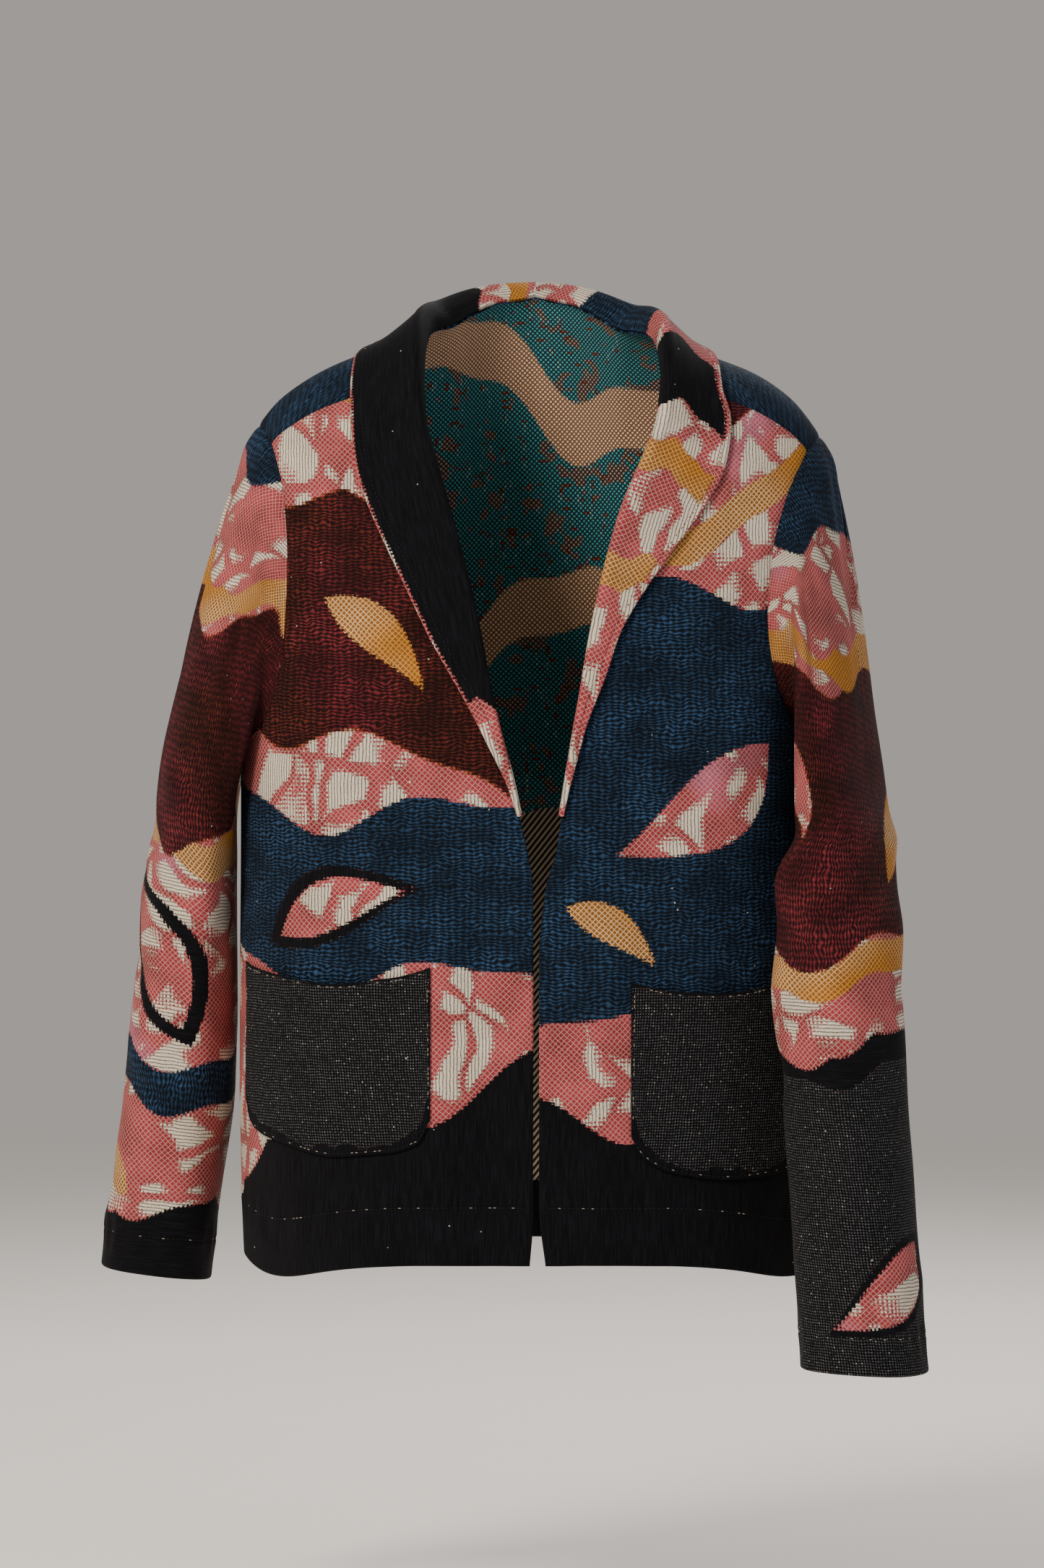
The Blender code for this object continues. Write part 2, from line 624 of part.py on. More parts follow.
# Points at a distance out from the seam over the body and a height above its cloth. The stand
# starts square to the seam's direction, and the roll is tighter where the collar is narrow.
def collar_section(side, guide, seam_direction):
    seam_distance, seam_rise, edge_distance, edge_rise, stand = guide
    seam_angle = angle_at(side, seam_distance, seam_rise)
    edge_angle = angle_at(side, edge_distance, edge_rise)
    share = np.linspace(0.0, 1.0, 40)
    track_rise = seam_rise + (edge_rise - seam_rise) * share
    track_angle = seam_angle + (edge_angle - seam_angle) * share
    track = body(side, track_angle, track_rise)
    normal = body_normal(side, track_angle, track_rise)
    length = np.concatenate([[0.0], np.cumsum(np.linalg.norm(np.diff(track, axis=0), axis=1))])
    width = length[-1]
    profile = np.array(COLLAR_PROFILE)
    roll = np.clip(width / COLLAR_FULL_WIDTH, COLLAR_LEAST_ROLL, 1.0)
    rolled = 0.001 * roll * profile[:, 0]
    rolled[0] = 0.001 * profile[0, 0]
    out = np.minimum(rolled + profile[:, 1] * width, width)
    height = profile[:, 2] * stand + profile[:, 3] * COLLAR_LIFT
    at = np.concatenate([[0.0], np.cumsum(np.hypot(np.diff(out), np.diff(height)))])
    between = 0.5 * (at[4:-1] + at[5:])
    curve = smooth(at, np.column_stack([out, height]), np.sort(np.concatenate([at, between])))
    beyond = np.minimum(curve[:, 0], 0.0)
    on_track = np.clip(curve[:, 0], 0.0, width)
    base = np.column_stack([np.interp(on_track, length, track[:, axis]) for axis in range(3)])
    upward = np.column_stack([np.interp(on_track, length, normal[:, axis]) for axis in range(3)])
    away = track[2] - track[0]
    away = unit(away - (away @ seam_direction) * seam_direction)
    return base + away * beyond[:, None] + unit(upward) * curve[:, 1:2]


def collar_half(name, side, material):
    guides = collar_guides(side)
    seam = body(side, angle_at(side, guides[:, 0], guides[:, 1]), guides[:, 1])
    directions = unit(np.gradient(seam, axis=0))
    middle = np.array([collar_section(side, *pair) for pair in zip(guides, directions)])
    middle[0, :, 0] = side * SEAM_GAP / 2.0
    along = np.gradient(middle, axis=0)
    along[0] = (side, 0.0, 0.0)
    across = np.gradient(middle, axis=1)
    normal = side * unit(np.cross(across, along))
    half = normal * WALL / 2.0
    return wall_from_grids(name, middle + half, middle - half, False, material)


# Patch pocket laid on the front: its grid follows the front's cloth, close to it where it is sewn on
# and standing off in the middle and along the slack top edge
def pocket(name, side, outline, material):
    share = column(outline, 0)
    across = 0.5 - 0.5 * np.cos(np.linspace(0.0, np.pi, POCKET_COLUMNS + 1))
    distance = smooth(share, column(outline, 1), across)
    top = smooth(share, column(outline, 2), across)
    bottom = smooth(share, column(outline, 3), across)
    down = np.linspace(0.0, 1.0, POCKET_ROWS)[:, None]
    rise = (top + (bottom - top) * down - UNDERARM_Z) * 1000.0
    distance = np.repeat(distance[None, :], POCKET_ROWS, axis=0)
    angle = angle_at(side, distance, rise)
    across_bulge = np.sin(np.pi * across)
    bulge = POCKET_MIDDLE_RISE * across_bulge * (1.0 - down ** 4)
    slack = POCKET_SLACK * across_bulge * (1.0 - down) ** 3
    normal = body_normal(side, angle, rise)
    middle = body(side, angle, rise) + normal * (POCKET_EDGE_STANDOFF + bulge + slack)[..., None]
    half = normal * WALL / 2.0
    return wall_from_grids(name, middle + half, middle - half, False, material)


navy_cloth = cloth_material("jacquard_navy", (0.020, 0.060, 0.110), 0.85)
coral_cloth = cloth_material("jacquard_coral", (0.420, 0.130, 0.120), 0.85)
charcoal_cloth = cloth_material("jacquard_charcoal", (0.030, 0.030, 0.034), 0.85)

back_panel("back", navy_cloth)
front_panel("front_right", -1.0, navy_cloth)
front_panel("front_left", 1.0, navy_cloth)
sleeve("sleeve_right", -1.0, SLEEVE_RIGHT_SECTIONS, SLEEVE_RIGHT_FOLDS, coral_cloth)
sleeve("sleeve_left", 1.0, SLEEVE_LEFT_SECTIONS, SLEEVE_LEFT_FOLDS, coral_cloth)
collar_half("collar_right", -1.0, coral_cloth)
collar_half("collar_left", 1.0, coral_cloth)
pocket("pocket_right", -1.0, POCKET_RIGHT, charcoal_cloth)
pocket("pocket_left", 1.0, POCKET_LEFT, charcoal_cloth)
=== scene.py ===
# Looks of an open jacquard jacket with a shawl collar, set-in sleeves and two patch pockets.
# Metres, +Z up, the front faces -Y and +X is the wearer's left, as in the frame.
import bpy
import numpy as np
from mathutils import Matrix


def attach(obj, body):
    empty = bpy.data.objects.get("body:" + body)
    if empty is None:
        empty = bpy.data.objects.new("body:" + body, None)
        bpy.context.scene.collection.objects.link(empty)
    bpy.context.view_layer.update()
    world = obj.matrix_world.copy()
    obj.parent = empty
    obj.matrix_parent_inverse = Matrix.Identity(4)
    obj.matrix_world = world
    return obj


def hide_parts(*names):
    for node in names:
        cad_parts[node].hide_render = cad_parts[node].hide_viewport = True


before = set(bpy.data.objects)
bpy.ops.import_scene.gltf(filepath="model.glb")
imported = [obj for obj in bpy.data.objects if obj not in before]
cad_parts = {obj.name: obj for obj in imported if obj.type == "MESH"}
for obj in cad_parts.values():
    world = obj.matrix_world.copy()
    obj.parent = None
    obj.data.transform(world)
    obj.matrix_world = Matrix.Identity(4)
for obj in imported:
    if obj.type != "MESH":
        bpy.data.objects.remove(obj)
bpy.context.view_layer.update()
print("frame loaded:", len(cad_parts), "pieces")

# Form of the body's cloth, in the frame's own sizes. Level rings: height, right half width, left half
# width, front depth, back depth. Shoulder line: distance from the centre, height. Front edge and neck
# seam: height, distance on the right, on the left. Armhole: sine of the rise, distance on the right
# front, left front, right back, left back. Folds: face, start X and Z, end X and Z, half width, depth.
bodyForm = {
    "wall": 0.002,
    "seamGap": 0.0003,
    "underarm": -0.270,
    "hem": -0.636,
    "topHalfWidth": 0.216,
    "squareness": 0.03,
    "shoulderSeam": 64.0,
    "hemDipFront": 0.012,
    "hemDipBack": 0.006,
    "hemDipStart": -0.45,
    "hemDipReach": 0.18,
    "hemDipPlace": 32.0,
    "hemDipSpread": 20.0,
    "foldFade": 0.03,
    "angleStep": 0.004,
    "riseStep": 0.5,
    "angleSamples": 400,
    "edgeSamples": 300,
    "rings": (
        (-0.660, 0.2070, 0.2050, 0.1250, 0.1190),
        (-0.600, 0.2095, 0.2070, 0.1240, 0.1180),
        (-0.500, 0.2110, 0.2070, 0.1220, 0.1160),
        (-0.400, 0.2105, 0.2050, 0.1200, 0.1140),
        (-0.330, 0.2100, 0.2005, 0.1190, 0.1120),
        (-0.270, 0.2100, 0.2005, 0.1180, 0.1110),
    ),
    "shoulderLine": (
        (0.000, 0.0830),
        (0.025, 0.0680),
        (0.047, 0.0450),
        (0.062, 0.0285),
        (0.072, 0.0235),
        (0.080, 0.0200),
        (0.100, 0.0125),
        (0.130, 0.0020),
        (0.155, -0.0085),
        (0.180, -0.0255),
        (0.193, -0.0400),
        (0.216, -0.0760),
    ),
    "frontEdge": (
        (-0.660, 0.0060, 0.0085),
        (-0.636, 0.0045, 0.0065),
        (-0.610, 0.0025, 0.0032),
        (-0.585, 0.0022, 0.0020),
        (-0.420, 0.0020, 0.0020),
        (-0.371, 0.0022, 0.0066),
        (-0.345, 0.0060, 0.0140),
        (-0.320, 0.0120, 0.0180),
        (-0.290, 0.0190, 0.0230),
        (-0.255, 0.0290, 0.0290),
        (-0.224, 0.0365, 0.0350),
        (-0.190, 0.0425, 0.0415),
        (-0.146, 0.0525, 0.0510),
        (-0.107, 0.0630, 0.0620),
        (-0.069, 0.0735, 0.0780),
        (-0.044, 0.0800, 0.0875),
        (-0.015, 0.0815, 0.0905),
    ),
    "armhole": (
        (0.000, 0.2100, 0.2005, 0.2100, 0.2005),
        (0.010, 0.2060, 0.1965, 0.2075, 0.1990),
        (0.040, 0.1975, 0.1880, 0.2020, 0.1960),
        (0.100, 0.1880, 0.1765, 0.1960, 0.1925),
        (0.200, 0.1805, 0.1675, 0.1910, 0.1900),
        (0.350, 0.1770, 0.1630, 0.1880, 0.1890),
        (0.520, 0.1755, 0.1665, 0.1870, 0.1895),
        (0.680, 0.1775, 0.1755, 0.1875, 0.1905),
        (0.850, 0.1850, 0.1890, 0.1900, 0.1945),
        (0.950, 0.1920, 0.1970, 0.1935, 0.1985),
        (1.000, 0.1970, 0.2020, 0.1970, 0.2020),
    ),
    "folds": (
        (-1, -0.165, -0.235, -0.095, -0.400, 0.018, 0.0040),
        (-1, -0.150, -0.300, -0.110, -0.420, 0.014, -0.0030),
        (-1, -0.045, -0.360, -0.035, -0.600, 0.016, -0.0030),
        (-1, -0.120, -0.605, -0.128, -0.655, 0.020, 0.0040),
        (-1, 0.150, -0.240, 0.100, -0.380, 0.018, 0.0040),
        (-1, 0.050, -0.380, 0.042, -0.610, 0.018, 0.0035),
        (-1, 0.118, -0.615, 0.125, -0.660, 0.020, 0.0035),
        (1, -0.085, -0.160, -0.070, -0.640, 0.028, 0.0050),
        (1, 0.090, -0.200, 0.078, -0.640, 0.026, 0.0045),
        (1, 0.005, -0.300, 0.010, -0.640, 0.030, -0.0040),
        (1, -0.165, -0.180, -0.120, -0.330, 0.018, 0.0035),
        (1, 0.165, -0.190, 0.130, -0.350, 0.020, 0.0035),
    ),
}


# Puts a new object into the scene
def addObject(name, data):
    thing = bpy.data.objects.new(name, data)
    bpy.context.scene.collection.objects.link(thing)
    return thing


# Camera and light

view = {
    "distance": 6.0,
    "elevation": 2.0,
    "target": (-0.00995, -0.08, -0.2986),
    "frameHeight": 1.107,
    "sensor": 36.0,
}
cameraData = bpy.data.cameras.new("camera")
cameraData.sensor_fit = "VERTICAL"
cameraData.sensor_height = view["sensor"]
cameraData.lens = view["sensor"] * view["distance"] / view["frameHeight"]
camera = addObject("camera", cameraData)
raised = np.radians(view["elevation"])
camera.location = (
    view["target"][0],
    view["target"][1] - view["distance"] * np.cos(raised),
    view["target"][2] + view["distance"] * np.sin(raised),
)
camera.rotation_euler = (np.pi / 2.0 - raised, 0.0, 0.0)
bpy.context.scene.camera = camera


# Linear colour of a code: each part is divided by 12.92 where small, and else raised to the power 2.4
def linearColour(code):
    parts = np.array([int(code[at:at + 2], 16) for at in (1, 3, 5)]) / 255.0
    linear = np.where(parts <= 0.04045, parts / 12.92, ((parts + 0.055) / 1.055) ** 2.4)
    return (*linear.tolist(), 1.0)


# Adds a node of a kind, which may end with its operation: a socket among the values is linked, a colour's
# code becomes its linear colour, and a value whose key is no input of the node is one of its settings
def addNode(tree, kind, values, output=0):
    kind, *operation = kind.split()
    node = tree.nodes.new("ShaderNode" + kind)
    if operation:
        node.operation = operation[0]
    for key, value in values.items():
        if isinstance(value, bpy.types.NodeSocket):
            tree.links.new(value, node.inputs[key])
        elif isinstance(key, int) or key in node.inputs:
            node.inputs[key].default_value = linearColour(value) if isinstance(value, str) else value
        else:
            setattr(node, key, value)
    return node.outputs[output]


# Starts a material and sets inputs of its shader by name
def startMaterial(name, finish):
    material = bpy.data.materials.new(name)
    material.use_nodes = True
    shader = material.node_tree.nodes["Principled BSDF"]
    for key, value in finish.items():
        shader.inputs[key].default_value = value
    return material, material.node_tree, shader


# Gives a shader its colour, and a bump from a height and its depth in metres
def linkSurface(tree, shader, colour, height, depth, strength=1.0):
    bump = addNode(tree, "Bump", {"Strength": strength, "Distance": depth, "Height": height})
    tree.links.new(colour, shader.inputs["Base Color"])
    tree.links.new(bump, shader.inputs["Normal"])


studio = {
    "key": {"place": (-1.9, -2.6, 1.7), "size": 1.2, "watts": 162.0, "colour": "#fff5ea"},
    "fill": {"place": (2.3, -2.2, 0.2), "size": 2.2, "watts": 22.0, "colour": "#eef2ff"},
    "back": {"place": (0.8, 2.6, 1.6), "size": 1.8, "watts": 70.0, "colour": "#ffffff"},
    "sky": "#d0cac4",
    "skyStrength": 0.62,
    "floor": "#efe9e2",
    "floorPale": "#f4efe9",
    "floorRoughness": 0.9,
    "floorCloud": 2.0,
    "floorCorners": 96,
    "floorHeight": -0.90,
    "floorRadius": 5.6,
    "fadeStart": 1.2,
    "fadeEnd": 5.5,
}
colourMix = {"data_type": "RGBA"}
for name in ("key", "fill", "back"):
    lamp = studio[name]
    light = bpy.data.lights.new(name, "AREA")
    light.shape = "DISK"
    light.size = lamp["size"]
    light.energy = lamp["watts"]
    light.color = linearColour(lamp["colour"])[:3]
    holder = addObject(name, light)
    offset = np.array(view["target"]) - np.array(lamp["place"])
    level = np.hypot(offset[0], offset[1])
    holder.location = lamp["place"]
    holder.rotation_euler = (np.arctan2(level, -offset[2]), 0.0, np.arctan2(-offset[0], offset[1]))
world = bpy.data.worlds.new("sky")
bpy.context.scene.world = world
world.use_nodes = True
sky = world.node_tree.nodes["Background"]
sky.inputs["Color"].default_value = linearColour(studio["sky"])
sky.inputs["Strength"].default_value = studio["skyStrength"]


# The floor is a flat disc that fades into the sky. Painted plaster gives a plain, matt surface.
def buildFloor():
    corners, radius = studio["floorCorners"], studio["floorRadius"]
    turn = np.linspace(0.0, 2.0 * np.pi, corners, endpoint=False)
    rim = np.stack([radius * np.cos(turn), radius * np.sin(turn), 0.0 * turn + studio["floorHeight"]], axis=1)
    mesh = bpy.data.meshes.new("floor")
    mesh.from_pydata(rim.tolist(), [], [tuple(range(corners))])
    plaster, tree, shader = startMaterial("painted_plaster", {"Roughness": studio["floorRoughness"]})
    place = addNode(tree, "TexCoord", {}, 3)
    cloud = addNode(tree, "TexNoise", {"Vector": place, "Scale": studio["floorCloud"], "Detail": 3.0})
    tone = addNode(tree, "Mix", {**colourMix, 0: cloud, 6: studio["floor"], 7: studio["floorPale"]}, 2)
    tree.links.new(tone, shader.inputs["Base Color"])
    fromMiddle = addNode(tree, "VectorMath LENGTH", {0: place}, 1)
    gone = addNode(tree, "MapRange", {
        "interpolation_type": "SMOOTHSTEP", 0: fromMiddle, 1: studio["fadeStart"], 2: studio["fadeEnd"]
    })
    clear = addNode(tree, "BsdfTransparent", {})
    faded = addNode(tree, "MixShader", {0: gone, 1: shader.outputs[0], 2: clear})
    tree.links.new(faded, tree.nodes["Material Output"].inputs["Surface"])
    mesh.materials.append(plaster)
    addObject("floor", mesh)


buildFloor()
print("camera, light and floor ready")


# Surfaces of the body

# Smooth curve through a table's rows: a cubic between two rows, whose slope at a row is the harmonic
# mean of the slopes beside it, so the curve never passes its rows.
def smoothTable(at, values, where):
    at = np.asarray(at, float)
    values = np.asarray(values, float)
    where = np.clip(np.asarray(where, float), at[0], at[-1])
    extra = (1,) * (values.ndim - 1)
    step = np.diff(at).reshape((-1,) + extra)
    slope = np.diff(values, axis=0) / step
    tangent = np.zeros_like(values)
    product = slope[:-1] * slope[1:]
    total = slope[:-1] + slope[1:]
    safe = np.where(np.abs(total) < 1e-12, 1.0, total)
    tangent[1:-1] = np.where(product > 0.0, 2.0 * product / safe, 0.0)
    tangent[0] = slope[0]
    tangent[-1] = slope[-1]
    index = np.clip(np.searchsorted(at, where, side="right") - 1, 0, len(at) - 2)
    shape = where.shape + extra
    width = (at[index + 1] - at[index]).reshape(shape)
    t = ((where - at[index]) / (at[index + 1] - at[index])).reshape(shape)
    return (
        values[index] * (1.0 + 2.0 * t) * (1.0 - t) ** 2
        + tangent[index] * width * t * (1.0 - t) ** 2
        + values[index + 1] * t * t * (3.0 - 2.0 * t)
        + tangent[index + 1] * width * t * t * (t - 1.0)
    )


# Columns of a table, read smoothly at values of its first column
def readTable(table, columns, where):
    rows = np.array(table, float)
    return smoothTable(rows[:, 0], rows[:, columns], where)


# Vectors divided by their own lengths
def unitLength(vectors):
    return vectors / np.maximum(np.linalg.norm(vectors, axis=-1, keepdims=True), 1e-12)


# Smooth step between two values: three times the share squared less twice its cube
def easeStep(low, high, value):
    t = np.clip((value - low) / (high - low), 0.0, 1.0)
    return t * t * (3.0 - 2.0 * t)


# A bell: the exponential of minus the square of a distance over its reach
def bell(distance, reach):
    return np.exp(-((distance / reach) ** 2))


# Share of the half width at an angle round the body: its cosine with a little of its third harmonic
def ringAcross(angle):
    return (np.cos(angle) - bodyForm["squareness"] * np.cos(3.0 * angle)) / (1.0 - bodyForm["squareness"])


# Share of the depth at an angle round the body: its sine with a little of its third harmonic
def ringDeep(angle):
    return (np.sin(angle) + bodyForm["squareness"] * np.sin(3.0 * angle)) / (1.0 - bodyForm["squareness"])


# Height of the shoulder line at a distance from the centre
def shoulderHeight(distance):
    return readTable(bodyForm["shoulderLine"], 1, distance)


# Half width: the level ring's at the underarm and below, growing with the sine of the arch above it
def halfWidth(side, height, arch):
    level = readTable(bodyForm["rings"], 1 + (side > 0), height)
    return level + (bodyForm["topHalfWidth"] - level) * np.sin(arch)


# The rise is negative millimetres below the front underarm, degrees over the shoulder from 0 to 180,
# and 180 plus millimetres below the back underarm.
def ringHeight(rise):
    return bodyForm["underarm"] + 0.001 * (np.minimum(rise, 0.0) - np.maximum(rise - 180.0, 0.0))


# Angle round the body at which a distance from the centre is reached
def angleAt(side, distance, rise):
    width = halfWidth(side, ringHeight(rise), np.radians(np.clip(rise, 0.0, 180.0)))
    angles = np.linspace(np.pi / 2.0, 0.0, bodyForm["angleSamples"])
    return np.interp(np.clip(distance / width, 0.0, 1.0), ringAcross(angles), angles)


# Rise of the front's point at a distance and a height: the arc sine of its share of the arch's height
def frontRise(distance, height):
    reach = shoulderHeight(distance) - bodyForm["underarm"]
    over = np.degrees(np.arcsin(np.clip((height - bodyForm["underarm"]) / reach, 0.0, 1.0)))
    return np.where(height < bodyForm["underarm"], (height - bodyForm["underarm"]) * 1000.0, over)


# Body before its folds: level rounded rings below the underarm, and above it an arch over the
# shoulder, as deep as the ring times the cosine of the rise and as high as the shoulder times its sine
def bodyBase(side, angle, rise):
    arch = np.radians(np.clip(rise, 0.0, 180.0))
    height = ringHeight(rise)
    distance = halfWidth(side, height, arch) * ringAcross(angle)
    front, back = (readTable(bodyForm["rings"], column, height) for column in (3, 4))
    depth = np.where(arch < np.pi / 2.0, front, back)
    lift = (shoulderHeight(distance) - bodyForm["underarm"]) * np.sin(arch)
    sink = np.clip((bodyForm["hemDipStart"] - height) / bodyForm["hemDipReach"], 0.0, 1.0) ** 2
    bump = bell(np.degrees(angle) - bodyForm["hemDipPlace"], bodyForm["hemDipSpread"])
    dip = np.where(rise < 90.0, bodyForm["hemDipFront"], bodyForm["hemDipBack"]) * bump * sink
    return np.stack([side * distance, -depth * ringDeep(angle) * np.cos(arch), height + lift - dip], axis=-1)


# What a surface moves over a small step either way: across with the angle, along with the rise
def smallSteps(surface, side, angle, rise):
    turn, climb = bodyForm["angleStep"], bodyForm["riseStep"]
    across = surface(side, angle + turn, rise) - surface(side, angle - turn, rise)
    along = surface(side, angle, rise + climb) - surface(side, angle, rise - climb)
    return across, along


# Normal of a surface: the cross product of its two small steps, facing out
def surfaceNormal(surface, side, angle, rise):
    return -side * unitLength(np.cross(*smallSteps(surface, side, angle, rise)))


# Height of straight soft folds: a bell across the run, full along it
def foldHeight(points, folds):
    total = np.zeros(points.shape[:-1])
    for face, startX, startZ, endX, endZ, spread, depth in folds:
        run = np.array([endX - startX, endZ - startZ])
        offset = points[..., [0, 2]] - np.array([startX, startZ])
        along = np.clip(offset @ run / (run @ run), 0.0, 1.0)
        gap = np.linalg.norm(offset - along[..., None] * run, axis=-1)
        onFace = np.clip(points[..., 1] * face / bodyForm["foldFade"], 0.0, 1.0)
        total = total + depth * onFace * bell(gap, spread)
    return total


# Body with the frame's folds, each point moved along the normal
def bodyPoint(side, angle, rise):
    base = bodyBase(side, angle, rise)
    lift = foldHeight(base, bodyForm["folds"])
    return base + surfaceNormal(bodyBase, side, angle, rise) * lift[..., None]


# Points of the body's cloth and the normals there
def bodyCloth(side, angle, rise):
    return bodyPoint(side, angle, rise), surfaceNormal(bodyPoint, side, angle, rise)


# Distance of the front edge and neck seam from the centre at some rises
def frontEdgeDistance(side, rises):
    table = bodyForm["frontEdge"]
    heights = np.linspace(table[0][0], table[-1][0], bodyForm["edgeSamples"])
    distances = readTable(table, 1 + (side > 0), heights)
    return np.interp(rises, frontRise(distances, heights), distances)


# Distance of the armhole from the centre: its table is read at the root of the rise's sine
def armholeDistance(side, rises):
    rows = np.array(bodyForm["armhole"])
    root = np.sqrt(np.sin(np.radians(np.clip(rises, 0.0, 180.0))))
    front, back = (
        smoothTable(np.sqrt(rows[:, 0]), rows[:, column + (side > 0)], root) for column in (1, 3)
    )
    return np.where(np.asarray(rises) < 90.0, front, back)


# Half a seam gap as an angle and as a rise, from the body's own stretch there
def halfGap(side, angle, rise):
    steps = smallSteps(bodyBase, side, angle, rise)
    return [
        bodyForm["seamGap"] / 2.0 / (np.linalg.norm(moved, axis=-1) / (2.0 * bodyForm[step]))
        for moved, step in zip(steps, ("angleStep", "riseStep"))
    ]


# Angle of a panel's outer edge: the side seam up to the underarm, the armhole above it
def outerAngle(side, rises):
    seamRises = np.where(rises < 90.0, np.minimum(rises, 0.0), np.maximum(rises, 180.0))
    seam = halfGap(side, np.zeros_like(rises), seamRises)[0]
    armhole = angleAt(side, armholeDistance(side, rises), rises)
    return np.where((rises > 0.0) & (rises < 180.0), np.maximum(armhole, seam), seam)


# Grids of the cloth: distances of the first steps from an edge, and of steps beside a line of stitches
grids = {
    "fromEdge": (0.0, 0.0004, 0.0011, 0.0022, 0.0038, 0.0060),
    "besideStitches": (-0.0022, -0.0012, -0.0005, 0.0005, 0.0012, 0.0022),
    "leastStep": 0.0002,
    "sharpAngle": 60.0,
}


# Positions along a length: even steps, closer beside both ends and beside each line of stitches
def closeSteps(length, step, lines=()):
    near = np.array(grids["fromEdge"])
    beside = np.array(grids["besideStitches"])
    close = np.concatenate([near, length - near] + [line + beside for line in lines])
    even = np.linspace(0.0, length, max(int(length / step), 2) + 1)[1:-1]
    apart = np.min(np.abs(even[:, None] - close), axis=1) > 0.5 * step
    steps = np.sort(np.concatenate([close, even[apart]]))
    return steps[np.concatenate([[True], np.diff(steps) > grids["leastStep"]])]


# Length run along an axis of a grid of points
def runLength(points, axis):
    steps = np.linalg.norm(np.diff(points, axis=axis), axis=-1)
    zero = np.zeros_like(np.take(steps, [0], axis=axis))
    return np.concatenate([zero, np.cumsum(steps, axis=axis)], axis=axis)


# Mesh of a piece of cloth: the outer grid is the middle grid plus half the thickness along the normal,
# the inner grid is minus half of it, and strips close the edges. Corners carry the place on the cloth in
# metres and the distances into each woven colour in millimetres.
def clothMesh(name, middle, normal, thickness, place, fields, ring=False, turned=None):
    rows, columns = middle.shape[:2]
    half = (0.5 * thickness)[..., None] * normal
    points = np.concatenate([(middle + half).reshape(-1, 3), (middle - half).reshape(-1, 3)])
    last = columns if ring else columns - 1
    row, column = (
        index.ravel() for index in np.meshgrid(np.arange(rows - 1), np.arange(last), indexing="ij")
    )

    # vertex and place of a corner of the outer layer or the inner one
    def corner(down, right, layer):
        r, c = row + down, column + right
        vertex = (layer * rows + r) * columns + c % columns
        return np.stack([vertex, r * place.shape[1] + c], axis=-1)

    a, b, c, d = (corner(down, right, 0) for down in (0, 1) for right in (0, 1))
    ai, bi, ci, di = (corner(down, right, 1) for down in (0, 1) for right in (0, 1))
    quads = [
        np.stack([a, b, d, c], axis=1),
        np.stack([ai, ci, di, bi], axis=1),
        np.stack([b, a, ai, bi], axis=1)[row == 0],
        np.stack([c, d, di, ci], axis=1)[row == rows - 2],
    ]
    if not ring:
        quads.append(np.stack([a, c, ci, ai], axis=1)[column == 0])
        quads.append(np.stack([d, b, bi, di], axis=1)[column == last - 1])
    quads = np.concatenate(quads)
    # the inside shows the cloth's reverse, but for turned-in hems
    slots = np.zeros(len(quads), int)
    slots[len(row):2 * len(row)] = 1 if turned is None else turned[row, column % columns] <= 0.5
    stepAcross = middle[1:-1, 2:] - middle[1:-1, :-2]
    stepDown = middle[2:, 1:-1] - middle[:-2, 1:-1]
    if np.sum(np.cross(stepAcross, stepDown) * normal[1:-1, 1:-1]) < 0.0:
        quads = quads[:, ::-1]
    mesh = bpy.data.meshes.new(name)
    mesh.vertices.add(len(points))
    mesh.vertices.foreach_set("co", points.ravel())
    mesh.loops.add(len(quads) * 4)
    mesh.loops.foreach_set("vertex_index", quads[..., 0].ravel())
    mesh.polygons.add(len(quads))
    mesh.polygons.foreach_set("loop_start", np.arange(len(quads)) * 4)
    mesh.polygons.foreach_set("material_index", slots)
    mesh.update(calc_edges=True)
    where = quads[..., 1].ravel()
    mesh.uv_layers.new(name="cloth").data.foreach_set("uv", place.reshape(-1, 2)[where].ravel())
    for key, values in fields.items():
        attribute = mesh.attributes.new(key, "FLOAT", "CORNER")
        attribute.data.foreach_set("value", (1000.0 * values.reshape(-1)[where]).astype(np.float32))
    mesh.shade_smooth()
    mesh.set_sharp_from_angle(angle=np.radians(grids["sharpAngle"]))
    for material in (faceCloth, reverseCloth):
        mesh.materials.append(material)
    return addObject(name, mesh)


# Woven cloth

# Spacings in metres. A real pick is 0.5 mm; ribs, floats and dots are groups of picks and so drawn true.
# Slants are in degrees, scales are cells a metre, and a share is of the wave or noise that it names.
weave = {
    "rib": 0.0026,
    "ribBreak": 0.0050,
    "ribBreakShare": 0.60,
    "float": 0.0025,
    "diamond": 0.0029,
    "diamondSlant": 42.0,
    "dot": 0.0020,
    "tooth": 0.0030,
    "rustRim": (0.25, 0.8, 0.7),
    "toothShares": (0.35, 0.65),
    "leafToothShare": 1.2,
    "crinkle": 0.0105,
    "crinkleReach": 0.0046,
    "slightShare": 0.22,
    "sweep": 0.062,
    "sweepReach": 0.030,
    "broadScale": 9.0,
    "mottleScale": 34.0,
    "streakScale": (900.0, 45.0, 1.0),
    "fibre": 0.0011,
    "fibreHeight": 0.18,
    "fibreWear": 0.7,
    "speck": 0.0190,
    "leafCell": (0.025, 0.039),
    "leafMargin": 0.0021,
    "leafThinning": 0.0030,
    "leafLeftOut": 0.25,
    "relief": 0.0009,
    "reverseHatch": 0.0027,
    "reverseSlant": 42.0,
    "reverseStripe": 0.0034,
    "stripeSlant": 38.0,
    "reversePatch": 0.030,
    "reverseTooth": (0.6, 0.6),
    "reverseRelief": 0.0006,
    "threadTwist": 0.0008,
    "threadRelief": 0.0002,
}
